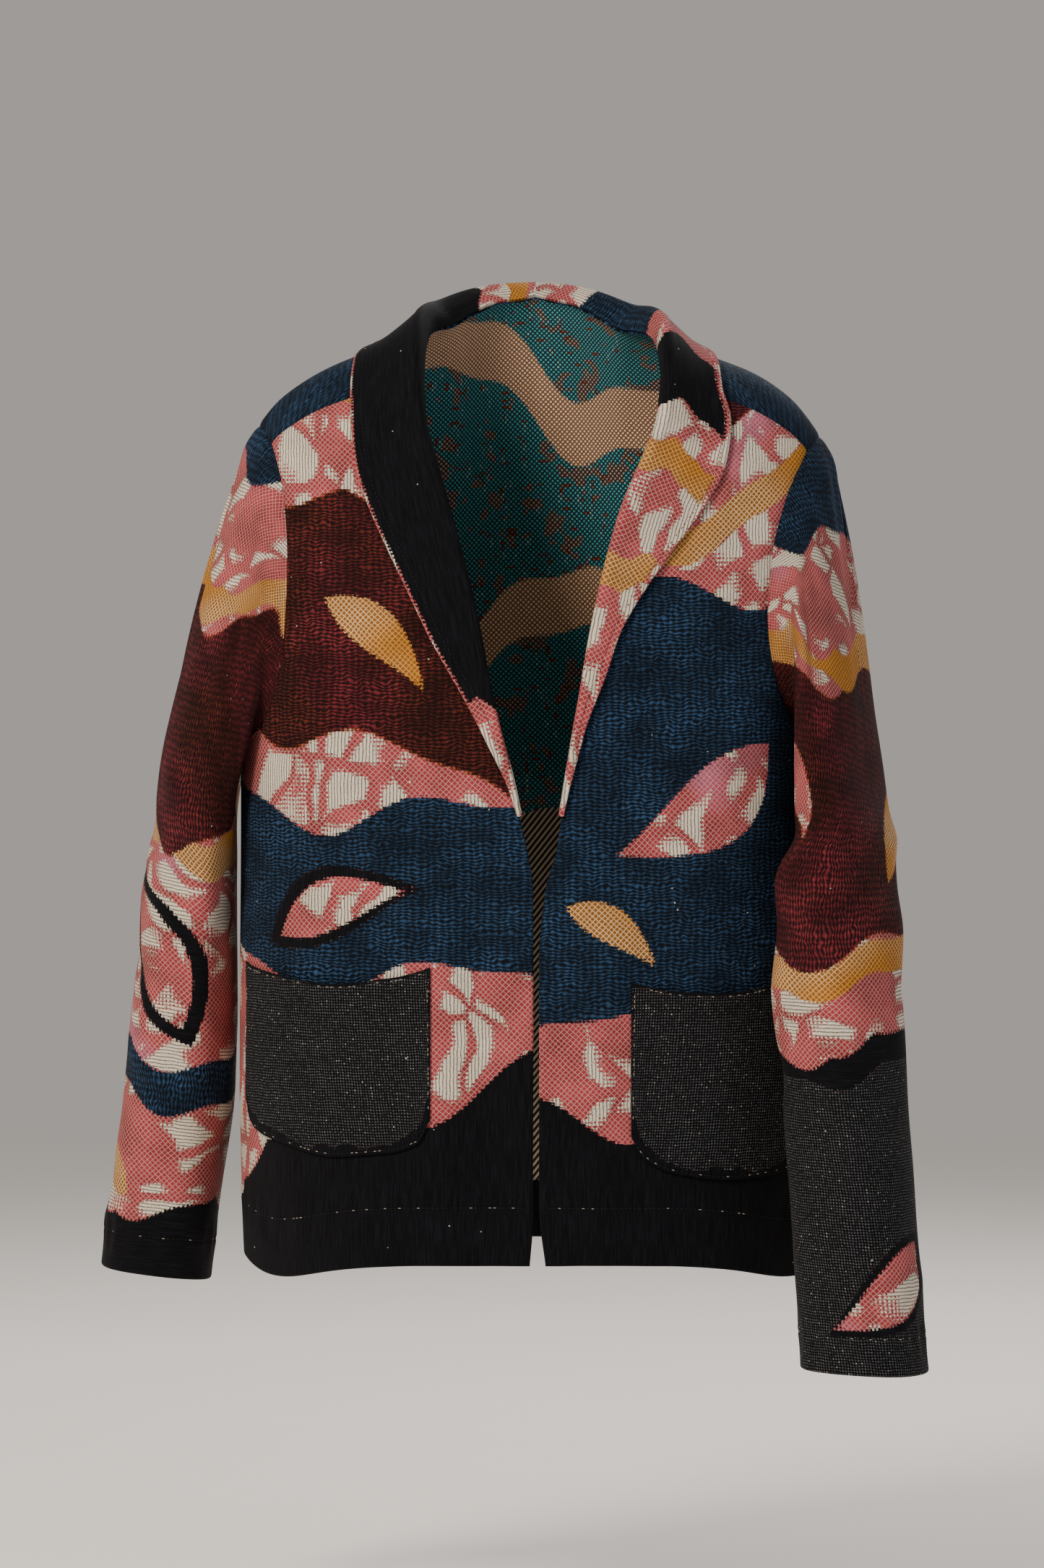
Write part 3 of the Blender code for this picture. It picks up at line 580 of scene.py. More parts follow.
dyes = {
    # navy, oxblood and burgundy: the deep dyes show in the ribs' valleys and the light ones on their crests,
    # partly as painted shade and highlight
    "navyDeep": "#060e18",
    "navyLight": "#2d4b6c",
    "oxbloodDeep": "#1a0907",
    "oxbloodLight": "#652922",
    "burgundyDeep": "#220a0e",
    "burgundyLight": "#802d34",
    "rustEdge": "#8f4018",
    "coral": "#a03943",
    "coralDeep": "#852c33",
    "coralPale": "#dba295",
    "orchid": "#b5719b",
    "cream": "#ded2bf",
    "creamLine": "#6b5f50",
    "ochre": "#dc9535",
    "sand": "#e9c08c",
    "ochreLine": "#8c5a26",
    "black": "#020203",
    "blackSlub": "#14141c",
    "charcoal": "#060607",
    "charcoalDot": "#626468",
    "brightDot": "#a8a49b",
    "speck": "#e8dccb",
    "shade": "#c4c4c4",
    "bright": "#ffffff",
    "threadBlack": "#0b0c10",
    "threadGrey": "#b0a797",
    "threadRed": "#7d1f26",
    "threadPink": "#d9b3a4",
    "threadShade": "#8c8c8c",
    "teal": "#439ba2",
    "tealDeep": "#08191e",
    "tealPale": "#7fbfba",
    "umber": "#9a8478",
    "umberDeep": "#1b100d",
    "rust": "#93422c",
    "beige": "#e8c4a0",
    "beigeLine": "#6f4c37",
    "stripePale": "#b5a68f",
    "stripeDeep": "#1c1915",
}
faceColours = ("navy", "oxblood", "ochre", "black", "charcoal")
reverseColours = ("beige", "stripe")


# Sines along both thread directions of a place on the cloth, with a spacing for each
def threadWaves(tree, place, across, along):
    factors = (2.0 * np.pi / across, 2.0 * np.pi / along, 0.0)
    scaled = addNode(tree, "VectorMath MULTIPLY", {0: place, 1: factors})
    return addNode(tree, "VectorMath SINE", {0: scaled})


# Toothed edge of the colours: the sign of both waves, with a share of each
def threadTooth(tree, place, shares):
    waves = threadWaves(tree, place, weave["tooth"], weave["tooth"])
    sign = addNode(tree, "VectorMath SIGN", {0: waves})
    return addNode(tree, "VectorMath DOT_PRODUCT", {0: sign, 1: (*shares, 0.0)}, 1)


# Sines along two slanting directions at right angles: the place is turned, then scaled
def slantWaves(tree, place, degrees, spacing):
    turned = addNode(tree, "Mapping", {
        "Vector": place, "Rotation": (0.0, 0.0, np.radians(degrees)), "Scale": (2.0 * np.pi / spacing,) * 3
    })
    waves = addNode(tree, "VectorMath SINE", {0: turned})
    return [addNode(tree, "SeparateXYZ", {0: waves}, axis) for axis in (0, 1)]


# Lays woven fields over a ground, each over the ones before it. A field's mask is its distance plus the
# tooth, its colour a mix of two dyes by its share, which on the ribbed fields is partly a painted highlight
# and shade of the ribs, and its height its own weave's wave.
def layFields(tree, tooth, colour, height, fields):
    for name, (share, deep, light, fieldHeight) in fields.items():
        distance = addNode(tree, "Attribute", {"attribute_name": name}, 2)
        toothed = addNode(tree, "Math ADD", {0: distance, 1: tooth})
        mask = addNode(tree, "Math MULTIPLY_ADD", {"use_clamp": True, 0: toothed, 1: 2.0, 2: 0.5})
        fieldColour = addNode(tree, "Mix", {**colourMix, 0: share, 6: deep, 7: light}, 2)
        colour = addNode(tree, "Mix", {**colourMix, 0: mask, 6: colour, 7: fieldColour}, 2)
        height = addNode(tree, "Mix", {0: mask, 2: height, 3: fieldHeight})
        if name == "oxblood":  # a rust thread runs along its edge
            away = addNode(tree, "Math ABSOLUTE", {0: toothed})
            near, far, most = weave["rustRim"]
            rim = addNode(tree, "MapRange", {0: away, 1: near, 2: far, 3: most, 4: 0.0})
            colour = addNode(tree, "Mix", {**colourMix, 0: rim, 6: colour, 7: dyes["rustEdge"]}, 2)
    return colour, height


# Jacquard coating of wool and viscose, woven with a crinkling weft. It gives matt ribbed fields with
# toothed edges, a coral twill ground with long pale floats in broken leaf shapes, and stray pale knots.
def buildFaceCloth():
    cloth, tree, shader = startMaterial("jacquard_wool_viscose", {
        "Roughness": 0.84, "Specular IOR Level": 0.10, "Sheen Weight": 0.015, "Sheen Roughness": 0.5
    })
    place = addNode(tree, "UVMap", {"uv_map": "cloth"})

    # the crinkling weft moves the patterns by shares of one noise, and a slower one sweeps the leaves
    crinkle, sweep = (
        addNode(tree, "TexNoise", {"Vector": place, "Scale": 1.0 / weave[name], "Detail": detail}, 1)
        for name, detail in (("crinkle", 2.5), ("sweep", 1.0))
    )
    moved = []
    for cloud, reach in (
        (crinkle, weave["crinkleReach"]), (crinkle, weave["slightShare"] * weave["crinkleReach"]),
        (sweep, weave["sweepReach"]),
    ):
        centred = addNode(tree, "VectorMath SUBTRACT", {0: cloud, 1: (0.5, 0.5, 0.5)})
        shift = {0: centred, 1: (2.0 * reach,) * 3, 2: place}
        moved.append(addNode(tree, "VectorMath MULTIPLY_ADD", shift))
    crinkled, slightly, swept = moved

    # clouds of three sizes, each with the share of it between two levels
    broad, mottle, hairs = (
        addNode(tree, "TexNoise", {"Vector": place, "Scale": scale, "Detail": detail})
        for scale, detail in (
            (weave["broadScale"], 2.0), (weave["mottleScale"], 3.0), (1.0 / weave["fibre"], 2.0)
        )
    )
    tone, patches, fuzz = (
        addNode(tree, "MapRange", {0: cloud, 1: low, 2: high})
        for cloud, low, high in ((broad, 0.42, 0.58), (mottle, 0.35, 0.65), (hairs, 0.3, 0.7))
    )

    # ribs run across the cloth and ripple, with short breaks from a slower wave along them
    ribWave = threadWaves(tree, crinkled, weave["ribBreak"], weave["rib"])
    ribBreak, ribLine = (addNode(tree, "SeparateXYZ", {0: ribWave}, axis) for axis in (0, 1))
    ribBoth = addNode(tree, "Math MULTIPLY_ADD", {0: ribBreak, 1: weave["ribBreakShare"], 2: ribLine})
    rib = addNode(tree, "MapRange", {0: ribBoth, 1: -0.65, 2: 1.35})
    floatWave = addNode(tree, "SeparateXYZ", {0: threadWaves(tree, slightly, weave["float"], 1.0)})
    floats = addNode(tree, "MapRange", {0: floatWave, 1: -1.0, 2: -0.50})

    # two crossing diagonals of pale threads
    first, second = slantWaves(tree, slightly, weave["diamondSlant"], weave["diamond"])
    higher = addNode(tree, "Math MAXIMUM", {0: first, 1: second})
    diamond = addNode(tree, "MapRange", {0: higher, 1: 0.55, 2: 1.0})

    # pin dots, each with its own brightness
    dotWaves = threadWaves(tree, slightly, 2.0 * weave["dot"], 2.0 * weave["dot"])
    dotWave = addNode(tree, "VectorMath ABSOLUTE", {0: dotWaves})
    dotAcross, dotAlong = (addNode(tree, "SeparateXYZ", {0: dotWave}, axis) for axis in (0, 1))
    dotBoth = addNode(tree, "Math MULTIPLY", {0: dotAcross, 1: dotAlong})
    dots = addNode(tree, "MapRange", {0: dotBoth, 1: 0.45, 2: 0.88})
    dotPlace = addNode(tree, "VectorMath MULTIPLY", {0: slightly, 1: (1.0 / weave["dot"],) * 3})
    dotCell = addNode(tree, "VectorMath FLOOR", {0: dotPlace})
    dotChance = addNode(tree, "TexWhiteNoise", {"noise_dimensions": "3D", "Vector": dotCell})
    dotBright = addNode(tree, "MapRange", {0: dotChance, 1: 0.96, 2: 1.0})
    dotTone = addNode(tree, "MapRange", {0: dotChance, 1: 0.0, 2: 0.9, 3: 0.22, 4: 1.0})
    dotStrength = addNode(tree, "Math MULTIPLY", {0: dots, 1: dotTone})

    # sparse pale knots
    knots = addNode(tree, "TexVoronoi", {"Vector": place, "Scale": 1.0 / weave["speck"]})
    specks = addNode(tree, "MapRange", {0: knots, 1: 0.020, 2: 0.034, 3: 0.85, 4: 0.0})

    # broken leaves: cells of a swept field, drawn in by an uneven margin, with some cells left out
    wide, tall = weave["leafCell"]
    leafPlace = addNode(tree, "VectorMath MULTIPLY", {0: swept, 1: (1.0 / wide, 1.0 / tall, 0.0)})
    edge = addNode(tree, "TexVoronoi", {"feature": "DISTANCE_TO_EDGE", "Vector": leafPlace, "Scale": 1.0})
    cell = addNode(tree, "TexVoronoi", {"Vector": leafPlace, "Scale": 1.0}, 1)
    chance = addNode(tree, "SeparateColor", {0: cell}, 0)
    margin = -1000.0 * weave["leafMargin"]
    widest = -1000.0 * (weave["leafMargin"] + weave["leafThinning"])
    thin = addNode(tree, "MapRange", {0: mottle, 1: 0.4, 2: 0.6, 3: margin, 4: widest})
    leafDepth = addNode(tree, "Math MULTIPLY_ADD", {0: edge, 1: 1000.0 * min(wide, tall), 2: thin})
    leafKept = addNode(tree, "Math SUBTRACT", {0: chance, 1: weave["leafLeftOut"]})
    leafShown = addNode(tree, "Math MULTIPLY", {0: leafKept, 1: 1000.0})
    leafInside = addNode(tree, "Math MINIMUM", {0: leafDepth, 1: leafShown})

    # toothed edges of leaves and fields, longer along the floats
    tooth = threadTooth(tree, slightly, weave["toothShares"])
    leafTooth = addNode(tree, "Math MULTIPLY_ADD", {0: tooth, 1: weave["leafToothShare"], 2: leafInside})
    leaf = addNode(tree, "Math MULTIPLY_ADD", {"use_clamp": True, 0: leafTooth, 1: 2.0, 2: 0.5})

    # shares and heights of the weaves
    streakPlace = addNode(tree, "VectorMath MULTIPLY", {0: place, 1: weave["streakScale"]})
    streaks = addNode(tree, "TexNoise", {
        "Vector": streakPlace, "Scale": 1.0, "Detail": 4.0, "Roughness": 0.7
    })
    slub = addNode(tree, "MapRange", {0: streaks, 1: 0.4, 2: 0.7})
    # the ribs' share of their light dye follows the rib wave, lighter on the crests and darker in the
    # valleys: partly the rib threads' own colour, partly a painted highlight and shade of the ribs' relief
    ribTone = addNode(tree, "MapRange", {0: patches, 3: 0.40, 4: 1.0})
    ribThreadsAndHighlight, paleShare, fuzzShare, patchShare, groundHeight, slubHeight, dotHeight = (
        addNode(tree, "Math MULTIPLY", {0: wave, 1: share})
        for wave, share in (
            (rib, ribTone), (diamond, 0.70), (fuzz, 0.6), (patches, 0.3), (diamond, 0.45), (slub, 0.35),
            (dotStrength, 0.6),
        )
    )
    floatShade = addNode(tree, "Math MAXIMUM", {0: floats, 1: fuzzShare})
    gap = addNode(tree, "Math SUBTRACT", {0: 1.0, 1: diamond})
    ochreGap = addNode(tree, "Math POWER", {0: gap, 1: 3.0})
    wear = addNode(tree, "Math MULTIPLY_ADD", {0: fuzz, 1: weave["fibreWear"], 2: patchShare})
    orchidShare = addNode(tree, "MapRange", {0: broad, 1: 0.60, 2: 0.75, 3: 0.0, 4: 0.5})

    # colour of each weave: a share between a deep and a light dye
    coralTone, cream, redDeep, redLight, ochreTone, dotColour, wearTone = (
        addNode(tree, "Mix", {**colourMix, 0: share, 6: dyes[deep], 7: dyes[light]}, 2)
        for share, deep, light in (
            (patches, "coralDeep", "coral"), (floatShade, "creamLine", "cream"),
            (tone, "oxbloodDeep", "burgundyDeep"), (tone, "oxbloodLight", "burgundyLight"),
            (tone, "ochre", "sand"), (dotBright, "charcoalDot", "brightDot"), (wear, "shade", "bright"),
        )
    )
    coralBase = addNode(tree, "Mix", {**colourMix, 0: orchidShare, 6: coralTone, 7: dyes["orchid"]}, 2)
    coral = addNode(tree, "Mix", {**colourMix, 0: paleShare, 6: coralBase, 7: dyes["coralPale"]}, 2)
    colour = addNode(tree, "Mix", {**colourMix, 0: leaf, 6: coral, 7: cream}, 2)
    height = addNode(tree, "Mix", {0: leaf, 2: groundHeight, 3: floats})
    colour, height = layFields(tree, tooth, colour, height, {
        "navy": (ribThreadsAndHighlight, dyes["navyDeep"], dyes["navyLight"], rib),
        "oxblood": (ribThreadsAndHighlight, redDeep, redLight, rib),
        "ochre": (ochreGap, ochreTone, dyes["ochreLine"], groundHeight),
        "black": (slub, dyes["black"], dyes["blackSlub"], slubHeight),
        "charcoal": (dotStrength, dyes["charcoal"], dotColour, dotHeight),
    })
    speckled = addNode(tree, "Mix", {**colourMix, 0: specks, 6: colour, 7: dyes["speck"]}, 2)
    worn = addNode(tree, "Mix", {**colourMix, "blend_type": "MULTIPLY", 0: 1.0, 6: speckled, 7: wearTone}, 2)
    fuzzed = addNode(tree, "Math MULTIPLY_ADD", {0: fuzz, 1: weave["fibreHeight"], 2: height})
    linkSurface(tree, shader, worn, fuzzed, weave["relief"])
    return cloth


# The reverse of the same jacquard: weft floats tied down in a slanting hatch. It gives a dry, even
# surface in teal with umber patches and stray dashes, beige bands and, low down, a slanting twill.
def buildReverseCloth():
    cloth, tree, shader = startMaterial("jacquard_reverse", {
        "Roughness": 0.88, "Specular IOR Level": 0.22, "Sheen Weight": 0.04
    })
    place = addNode(tree, "UVMap", {"uv_map": "cloth"})
    first, second = slantWaves(tree, place, weave["reverseSlant"], weave["reverseHatch"])
    lower = addNode(tree, "Math MINIMUM", {0: first, 1: second})
    hatch = addNode(tree, "MapRange", {0: lower, 1: -0.85, 2: 0.15})
    stripeWave = slantWaves(tree, place, weave["stripeSlant"], weave["reverseStripe"])[0]
    stripes = addNode(tree, "MapRange", {0: stripeWave, 1: -0.5, 2: 0.5})

    # umber patches of 10 to 30 mm with ragged edges
    cloud = addNode(tree, "TexNoise", {
        "Vector": place, "Scale": 1.0 / weave["reversePatch"], "Detail": 2.0, "Roughness": 0.75
    })
    patch = addNode(tree, "MapRange", {0: cloud, 1: 0.560, 2: 0.572})
    teal, umber, rust, paleTeal = (
        addNode(tree, "Mix", {**colourMix, 0: hatch, 6: dyes[deep], 7: dyes[light]}, 2)
        for deep, light in (
            ("tealDeep", "teal"), ("umberDeep", "umber"), ("umberDeep", "rust"), ("tealDeep", "tealPale")
        )
    )
    colour = addNode(tree, "Mix", {**colourMix, 0: patch, 6: teal, 7: umber}, 2)

    # stray dashes of 2 to 7 mm that lie along or across the cloth: rare cells of a stretched grid
    for factors, chosen, dashColour in (
        ((170.0, 480.0, 1.0), 0.972, rust),
        ((460.0, 200.0, 1.0), 0.975, rust),
        ((480.0, 190.0, 1.0), 0.962, paleTeal),
    ):
        stretched = addNode(tree, "VectorMath MULTIPLY", {0: place, 1: factors})
        cell = addNode(tree, "TexVoronoi", {"distance": "CHEBYCHEV", "Vector": stretched, "Scale": 1.0}, 1)
        chance = addNode(tree, "SeparateColor", {0: cell}, 0)
        dash = addNode(tree, "MapRange", {0: chance, 1: chosen, 2: chosen + 0.006})
        colour = addNode(tree, "Mix", {**colourMix, 0: dash, 6: colour, 7: dashColour}, 2)
    colour, height = layFields(tree, threadTooth(tree, place, weave["reverseTooth"]), colour, hatch, {
        "beige": (hatch, dyes["beigeLine"], dyes["beige"], hatch),
        "stripe": (stripes, dyes["stripeDeep"], dyes["stripePale"], stripes),
    })
    linkSurface(tree, shader, colour, height, weave["reverseRelief"])
    return cloth


# Core-spun polyester sewing thread. It gives small dull stitches, some caught in pale yarn.
def buildThread(name, deep, light):
    thread, tree, shader = startMaterial(name, {"Roughness": 0.6, "Specular IOR Level": 0.3})
    place = addNode(tree, "TexCoord", {}, 3)
    twist = addNode(tree, "TexNoise", {"Vector": place, "Scale": 1.0 / weave["threadTwist"], "Detail": 2.0})
    pale = addNode(tree, "Attribute", {"attribute_name": "pale"}, 2)
    colour = addNode(tree, "Mix", {**colourMix, 0: pale, 6: deep, 7: light}, 2)
    shade = addNode(tree, "Mix", {**colourMix, 0: twist, 6: dyes["threadShade"], 7: dyes["bright"]}, 2)
    twisted = addNode(tree, "Mix", {**colourMix, "blend_type": "MULTIPLY", 0: 1.0, 6: colour, 7: shade}, 2)
    linkSurface(tree, shader, twisted, twist, weave["threadRelief"], 0.6)
    return thread


faceCloth = buildFaceCloth()
reverseCloth = buildReverseCloth()
darkThread = buildThread("polyester_thread_black", dyes["threadBlack"], dyes["threadGrey"])
redThread = buildThread("polyester_thread_red", dyes["threadRed"], dyes["threadPink"])
print("woven cloth and thread ready")


# Woven design

# How far outside a field is at the start, how far one colour reaches under the next, the second sine of a
# band, and the bend of a leaf, its middle level, and the taper with the share where it ends
design = {
    "outside": -1.0,
    "overlap": 0.002,
    "secondWave": 0.35,
    "secondPace": 2.3,
    "secondPhase": 1.0,
    "leafBend": 0.18,
    "leafLevel": 0.4,
    "leafTaper": 0.5,
    "taperEnd": 1.5,
}


# Distances into each colour of the face and of the reverse, all far outside at the start
def startFields(shape):
    start = np.full(shape, design["outside"])
    return [{name: start for name in names} for names in (faceColours, reverseColours)]


# Lays one colour over the others: its own distance grows to the new one, and the others shrink to its
# minus, less an overlap that keeps the ground from showing between two colours
def paint(fields, colour, distance):
    overlap = 0.0 if colour == "coral" else design["overlap"]
    for name in fields:
        if name == colour:
            fields[name] = np.maximum(fields[name], distance)
        else:
            fields[name] = np.minimum(fields[name], overlap - distance)


# Slanting wavy bands: the half width less the height above a line plus two sines, taken square to the line
def paintBands(fields, across, along, bands):
    for colour, level, slope, wave, length, phase, halfBand in bands:
        turned = 2.0 * np.pi * across / length + np.radians(phase)
        second = np.sin(design["secondPace"] * turned + design["secondPhase"])
        ripple = np.sin(turned) + design["secondWave"] * second
        middle = level + slope * across + wave * ripple
        paint(fields, colour, (halfBand - np.abs(along - middle)) / np.hypot(1.0, slope))


# Bent leaves, round at the stalk and pointed at the tip: along a tilted parabola, whose bend is a share of
# the half length, the width is a parabola times a falling line
def paintLeaves(fields, across, along, leaves):
    for colour, centreAcross, centreAlong, tilt, halfLength, halfBroad in leaves:
        turned = np.radians(tilt)
        x, y = across - centreAcross, along - centreAlong
        run = (x * np.cos(turned) + y * np.sin(turned)) / halfLength
        bend = design["leafBend"] * halfLength * (run ** 2 - design["leafLevel"])
        taper = 1.0 - design["leafTaper"] * np.clip(run, -design["taperEnd"], design["taperEnd"])
        broad = halfBroad * (1.0 - run ** 2) * taper
        paint(fields, colour, broad - np.abs(-x * np.sin(turned) + y * np.cos(turned) + bend))


# Sewing details shared by the panels. Sway: depth, length and bend of a sine, length of the slower sine
# that bends it, and length along Y. Creases are read as the body's folds are.
sewing = {
    "grid": 0.0035,
    "hemTurn": 0.041,
    "edgeTurn": 0.012,
    "edgeStitch": 0.008,
    "turnEase": 0.001,
    "turnExtra": 0.0010,
    "seamDepth": 0.0007,
    "seamReach": 0.0022,
    "grooveDepth": 0.00045,
    "grooveReach": 0.0011,
    "grooveShare": 1.3,
    "fullerReach": 0.0045,
    "fullerShare": 0.45,
    "calmBesideSeam": 0.016,
    "puckerDepth": 0.0007,
    "puckerReach": 0.013,
    "puckerLength": 0.0030,
    "puckerBend": (1.6, 0.019),
    "sway": (
        (0.00035, 0.0115, 2.1, 0.043, 0.03),
        (0.00030, 0.0155, 1.7, 0.029, 0.02),
    ),
    "leastRounded": 0.06,
    "roundedShare": 0.6,
    "lastRoot": 0.35,
    "rootSteps": 16,
    "riseStep": 0.75,
    "besideTop": (1.7, 1.0, 0.6, 0.32, 0.14, 0.0),
    "archDepth": 0.115,
    "archSteps": 16,
    "runSteps": 24,
    "stitchRings": 5,
    "stitchSides": 6,
    "stitchLength": 0.0022,
    "stitchPitch": 0.0034,
    "paleHem": 0.20,
    "paleCuff": 0.12,
    "paleCollar": 0.30,
    "palePocket": 0.40,
    "threadRadius": 0.00030,
    "threadRise": 0.00022,
    "threadSunk": 0.6,
    "threadThin": 0.45,
    "creases": (
        (-1, -0.180, -0.130, -0.110, -0.190, 0.012, 0.0021),
        (-1, -0.176, -0.180, -0.120, -0.262, 0.010, -0.0019),
        (-1, -0.168, -0.290, -0.125, -0.372, 0.013, 0.0022),
        (-1, -0.100, -0.215, -0.078, -0.330, 0.013, -0.0016),
        (-1, -0.140, -0.330, -0.095, -0.402, 0.010, -0.0014),
        (-1, -0.062, -0.410, -0.074, -0.610, 0.014, 0.0023),
        (-1, -0.026, -0.470, -0.030, -0.640, 0.010, -0.0015),
        (-1, -0.196, -0.560, -0.180, -0.650, 0.011, -0.0018),
        (-1, -0.098, -0.590, -0.104, -0.650, 0.011, 0.0017),
        (-1, -0.098, -0.028, -0.110, -0.085, 0.008, -0.0016),
        (-1, -0.114, -0.045, -0.096, -0.110, 0.007, 0.0014),
        (-1, 0.108, -0.030, 0.118, -0.080, 0.008, -0.0014),
        (-1, 0.176, -0.120, 0.112, -0.188, 0.012, 0.0020),
        (-1, 0.168, -0.200, 0.112, -0.286, 0.010, -0.0019),
        (-1, 0.160, -0.310, 0.105, -0.400, 0.014, 0.0021),
        (-1, 0.084, -0.215, 0.060, -0.345, 0.013, -0.0017),
        (-1, 0.030, -0.350, 0.026, -0.470, 0.011, 0.0013),
        (-1, 0.086, -0.585, 0.078, -0.650, 0.011, 0.0018),
        (-1, 0.024, -0.540, 0.030, -0.650, 0.010, -0.0014),
        (-1, 0.180, -0.580, 0.172, -0.650, 0.012, -0.0018),
        (1, -0.175, -0.110, -0.100, -0.180, 0.013, 0.0022),
        (1, -0.150, -0.210, -0.060, -0.300, 0.015, -0.0020),
        (1, -0.150, -0.300, -0.110, -0.420, 0.013, 0.0018),
        (1, 0.168, -0.120, 0.092, -0.178, 0.012, 0.0020),
        (1, 0.050, -0.225, 0.130, -0.300, 0.014, -0.0022),
        (1, 0.150, -0.290, 0.115, -0.400, 0.012, 0.0017),
        (1, -0.036, -0.400, -0.030, -0.640, 0.017, 0.0024),
        (1, 0.048, -0.360, 0.054, -0.640, 0.018, 0.0021),
        (1, -0.140, -0.430, -0.128, -0.640, 0.015, -0.0021),
        (1, 0.150, -0.440, 0.138, -0.640, 0.014, -0.0019),
        (1, -0.085, -0.560, -0.092, -0.650, 0.011, 0.0016),
        (1, 0.098, -0.550, 0.104, -0.650, 0.011, 0.0018),
    ),
}


# Small unevenness of hanging cloth: a sine across and one upright, each bent by a slower sine the other way
def sway(points):
    x, y, z = points[..., 0], points[..., 1], points[..., 2]
    total = 0.0
    for (depth, length, bend, slow, deep), (here, other) in zip(sewing["sway"], ((x, z), (z, x))):
        total = total + depth * np.sin(here / length + bend * np.sin(other / slow) + y / deep)
    return total


# Valley at a seam: minus a bell of the distance from it
def seamValley(distance):
    return -sewing["seamDepth"] * bell(distance, sewing["seamReach"])


# Groove of a line of stitches, with the cloth a little fuller beside it
def stitchGroove(distance):
    near = sewing["grooveShare"] * bell(distance, sewing["grooveReach"])
    return sewing["grooveDepth"] * (sewing["fullerShare"] * bell(distance, sewing["fullerReach"]) - near)


# Puckers that a row of stitches draws up: a bell across the row, an uneven sine along it
def stitchPuckers(distance, along):
    bend, slow = sewing["puckerBend"]
    wave = np.sin(along / sewing["puckerLength"] + bend * np.sin(along / slow))
    return sewing["puckerDepth"] * wave * bell(distance, sewing["puckerReach"])


# Creases of a panel with its unevenness, which die away towards the seams it is sewn into
def panelCreases(points, fromSeam):
    calm = easeStep(0.0, sewing["calmBesideSeam"], fromSeam)
    return (foldHeight(points, sewing["creases"]) + sway(points)) * calm


# Share of a turned-in fold: one from the edge to its line of stitches, then none
def turnedIn(distance, line):
    return 1.0 - easeStep(line - sewing["turnEase"], line + sewing["turnEase"], distance)


# Lift of a turned hem: its groove and puckers, less half of what its fold adds to the thickness
def hemLift(distance, line, run, fold):
    fromLine = distance - line
    return stitchGroove(fromLine) + stitchPuckers(fromLine, run) - 0.5 * sewing["turnExtra"] * fold


# Thickness beside a free edge: full, and rounded off as a half disc towards the edge
def roundedEdge(distance, full):
    t = np.clip(1.0 - distance / (sewing["roundedShare"] * full), 0.0, 1.0)
    return np.sqrt(np.maximum(1.0 - t * t, sewing["leastRounded"]))


# Thickness of a panel with a turned fold, rounded off towards the hem
def hemmedThickness(distance, fold):
    full = bodyForm["wall"] + sewing["turnExtra"]
    return (bodyForm["wall"] + sewing["turnExtra"] * fold) * roundedEdge(distance, full)


# Length along the cloth from the underarm's height: straight below it, and above it the arc of the
# ellipse that the arch follows, summed over even steps
def heightAlong(side, angle, rise):
    towards = np.where(rise > 90.0, 180.0 - rise, rise)
    arc = np.radians(np.clip(towards, 0.0, 180.0))
    distance = halfWidth(side, ringHeight(rise), np.radians(np.clip(rise, 0.0, 180.0))) * ringAcross(angle)
    deep = sewing["archDepth"] * ringDeep(angle)
    tall = shoulderHeight(distance) - bodyForm["underarm"]
    steps = sewing["archSteps"]
    share = (np.arange(steps) + 0.5).reshape((-1,) + (1,) * rise.ndim) / steps
    speed = np.hypot(deep * np.sin(share * arc), tall * np.cos(share * arc)).mean(axis=0)
    return bodyForm["underarm"] + np.where(towards < 0.0, 0.001 * towards, arc * speed)


# Length across the body from its centre line at one rise, negative on the right
def levelRun(side, angle, rise):
    share = np.linspace(0.0, 1.0, sewing["runSteps"])
    turned = 0.5 * np.pi + (angle[..., None] - 0.5 * np.pi) * share
    points = bodyBase(side, turned, rise[..., None] + 0.0 * turned)
    return side * np.linalg.norm(np.diff(points, axis=-2), axis=-1).sum(axis=-1)


# Rises of the panels' rows from hem to shoulder: even millimetres, then roots of sines, then degrees
def panelRises(top):
    deep = bodyForm["underarm"] - bodyForm["hem"]
    below = 1000.0 * (closeSteps(deep, sewing["grid"], (sewing["hemTurn"],)) - deep)
    roots = np.linspace(0.0, sewing["lastRoot"], sewing["rootSteps"])[1:]
    bend = np.degrees(np.arcsin(roots ** 2))
    beside = np.array(sewing["besideTop"])
    over = np.arange(bend[-1] + sewing["riseStep"], top - beside[0] - 0.5, sewing["riseStep"])
    return np.concatenate([below, bend, over, top - beside])


# Line on a cloth's outer face where a distance reaches a value, found between two rows of each column,
# or between two columns of each row where it is upright. A mask leaves out what isn't sewn there.
def sewnLine(points, normals, distance, value, sewn=None, upright=False):
    if upright:
        points, normals = points.swapaxes(0, 1), normals.swapaxes(0, 1)
        distance, sewn = distance.T, sewn.T
    passed = distance > value if distance[-1].mean() > distance[0].mean() else distance < value
    row = np.clip(np.argmax(passed, axis=0), 1, len(points) - 1)
    column = np.arange(points.shape[1])
    before, after = distance[row - 1, column], distance[row, column]
    t = np.clip((value - before) / (after - before), 0.0, 1.0)[:, None]
    kept = passed.any(axis=0) if sewn is None else passed.any(axis=0) & sewn[row, column]
    line = points[row - 1, column] * (1.0 - t) + points[row, column] * t
    return line[kept], normals[row, column][kept]


